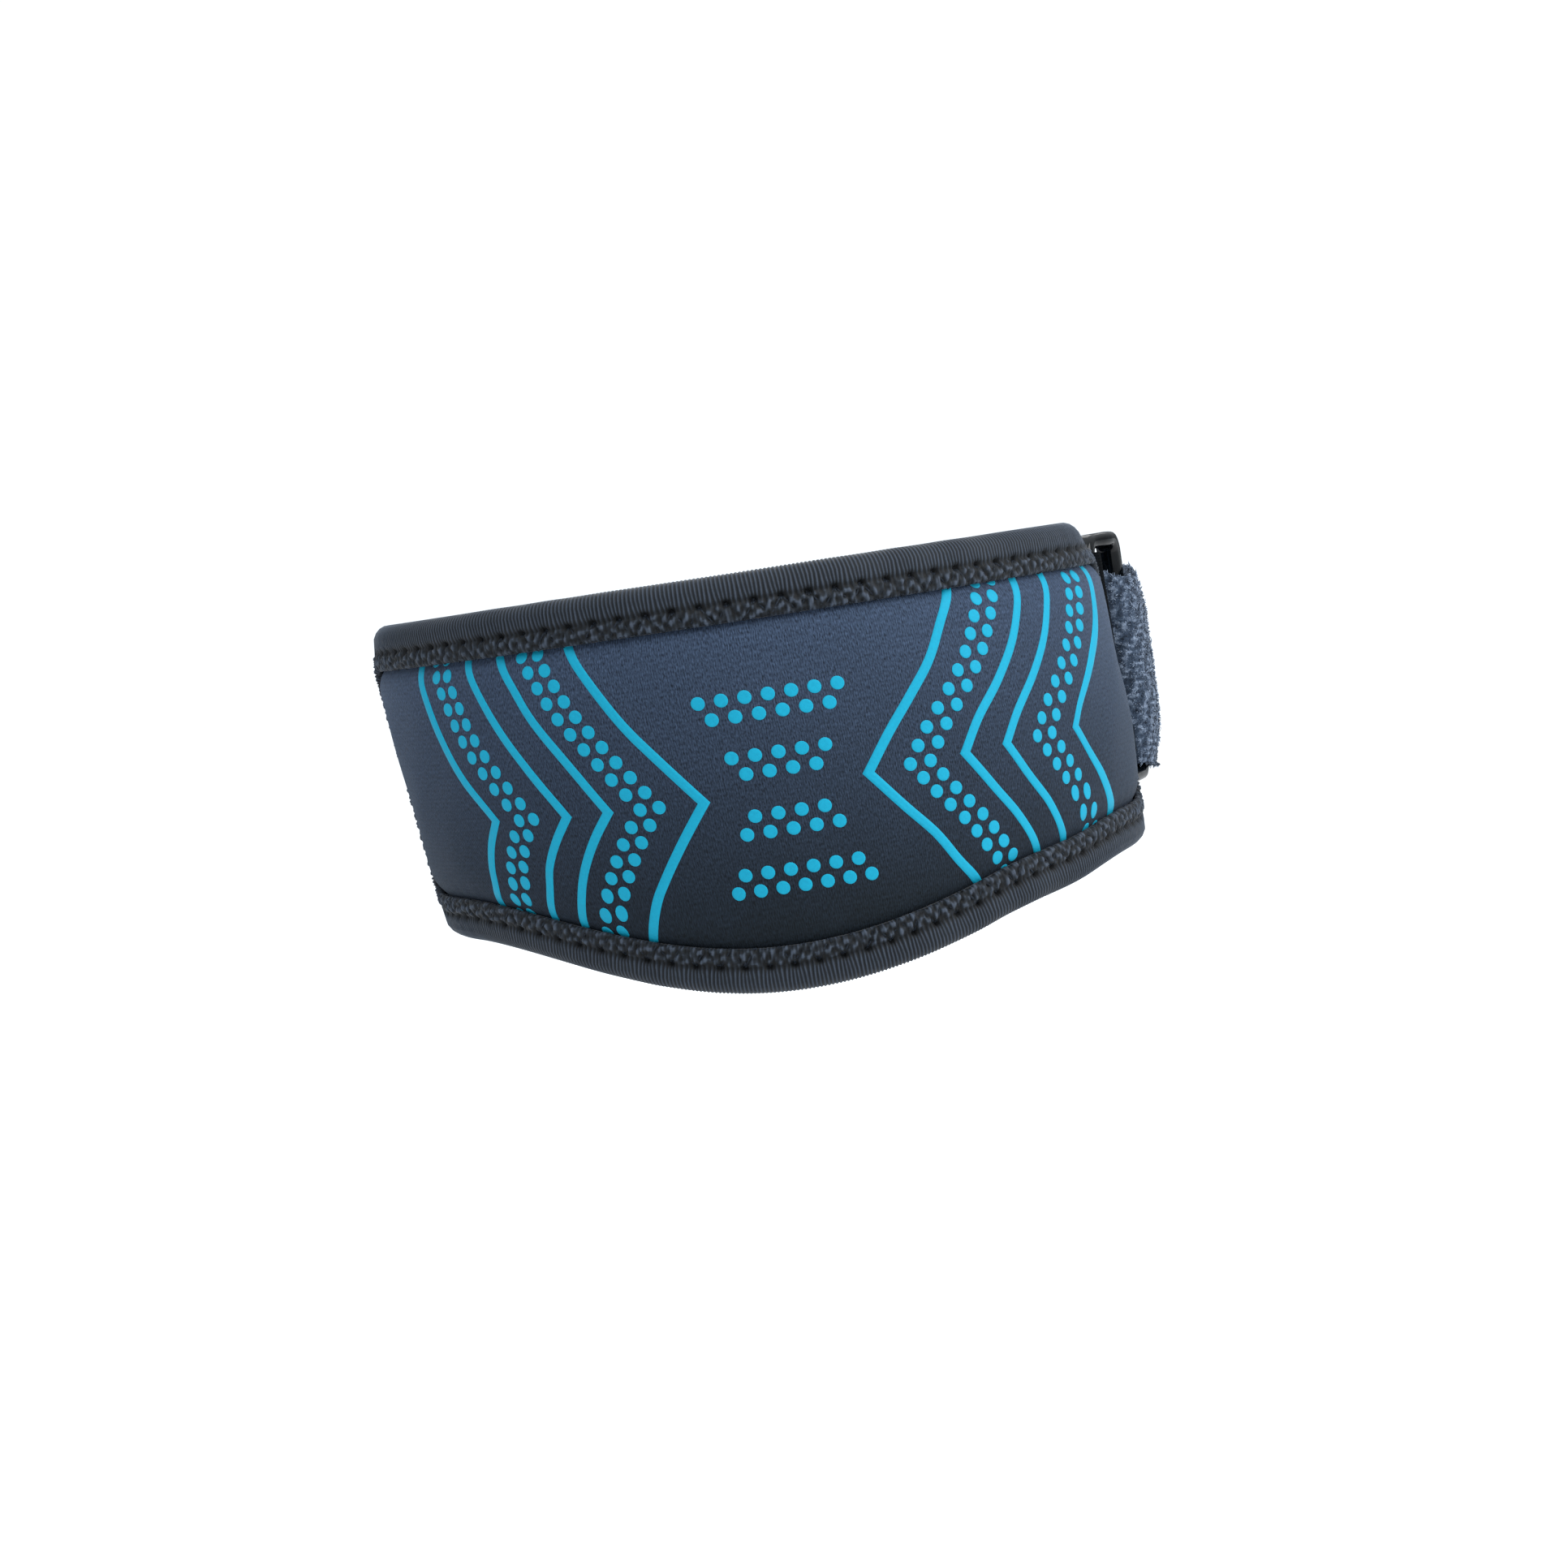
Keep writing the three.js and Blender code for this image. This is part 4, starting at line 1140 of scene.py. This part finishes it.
def makeStudio():
    # A pale floor, a sky that grows brighter upwards by a straight line, and three square lamps that point at
    # the strap
    w, z = studio["reach"], studio["floor"]
    mesh = bpy.data.meshes.new("floor")
    mesh.from_pydata([(-w, -w, z), (w, -w, z), (w, w, z), (-w, w, z)], [], [(0, 1, 2, 3)])
    floor = bpy.data.objects.new("floor", mesh)
    bpy.context.collection.objects.link(floor)
    f = Finish("pale_floor", Roughness=0.9)
    grain = f.noise(f.place(), 60.0, 2.0)
    dull, pale = [(t, t, t, 1) for t in (studio["floorTone"], studio["floorTone"] + 0.04)]
    dress(floor, f.feed(Base_Color=f.blend(grain, dull, pale)))
    world = bpy.data.worlds.new("studio")
    bpy.context.scene.world = world
    world.use_nodes = True
    sky = Nodes(world.node_tree)
    height = sky.node("SeparateXYZ", {}, {0: sky.node("TexCoord")}, 2)
    glow = sky.level(height, 0.0, 1.0, studio["ground"], studio["sky"])
    seen = sky.node("LightPath")
    strength = sky.node("Mix", {"data_type": "FLOAT"}, {0: seen, 2: glow, 3: studio["backdrop"]})
    back = world.node_tree.nodes["Background"]
    world.node_tree.links.new(strength.socket, back.inputs["Strength"])
    back.inputs["Color"].default_value = studio["tint"] + (1,)
    for name, (place, size, power) in lamps.items():
        light = bpy.data.lights.new(name, "AREA")
        light.size, light.energy = size, power
        lamp = bpy.data.objects.new(name, light)
        lamp.location = place
        lamp.rotation_euler = (-Vector(place)).to_track_quat("-Z", "Y").to_euler()
        bpy.context.collection.objects.link(lamp)


def makeCamera():
    # Half a metre away and a little above, turned 2 degrees to the left, and rolled so that the strap tilts
    rise, turn, roll = view["rise"], view["turn"], view["roll"]
    ahead = np.array([-sin(turn) * cos(rise), cos(turn) * cos(rise), -sin(rise)])
    right = np.array([cos(turn), sin(turn), 0])
    up = np.cross(right, ahead)
    c, s = cos(roll), sin(roll)
    data = bpy.data.cameras.new("camera")
    data.lens, data.sensor_width = view["lens"], view["sensor"]
    data.clip_start, data.clip_end = 0.01, 50
    camera = bpy.data.objects.new("camera", data)
    bpy.context.collection.objects.link(camera)
    m = np.eye(4)
    m[:3, 0], m[:3, 1], m[:3, 2] = right * c - up * s, right * s + up * c, -ahead
    m[:3, 3] = np.array(view["target"]) - ahead * view["distance"]
    camera.matrix_world = Matrix(m.tolist())
    bpy.context.scene.camera = camera


makeStudio()
makeCamera()
bpy.context.scene.view_settings.view_transform = "Standard"
print("studio made")
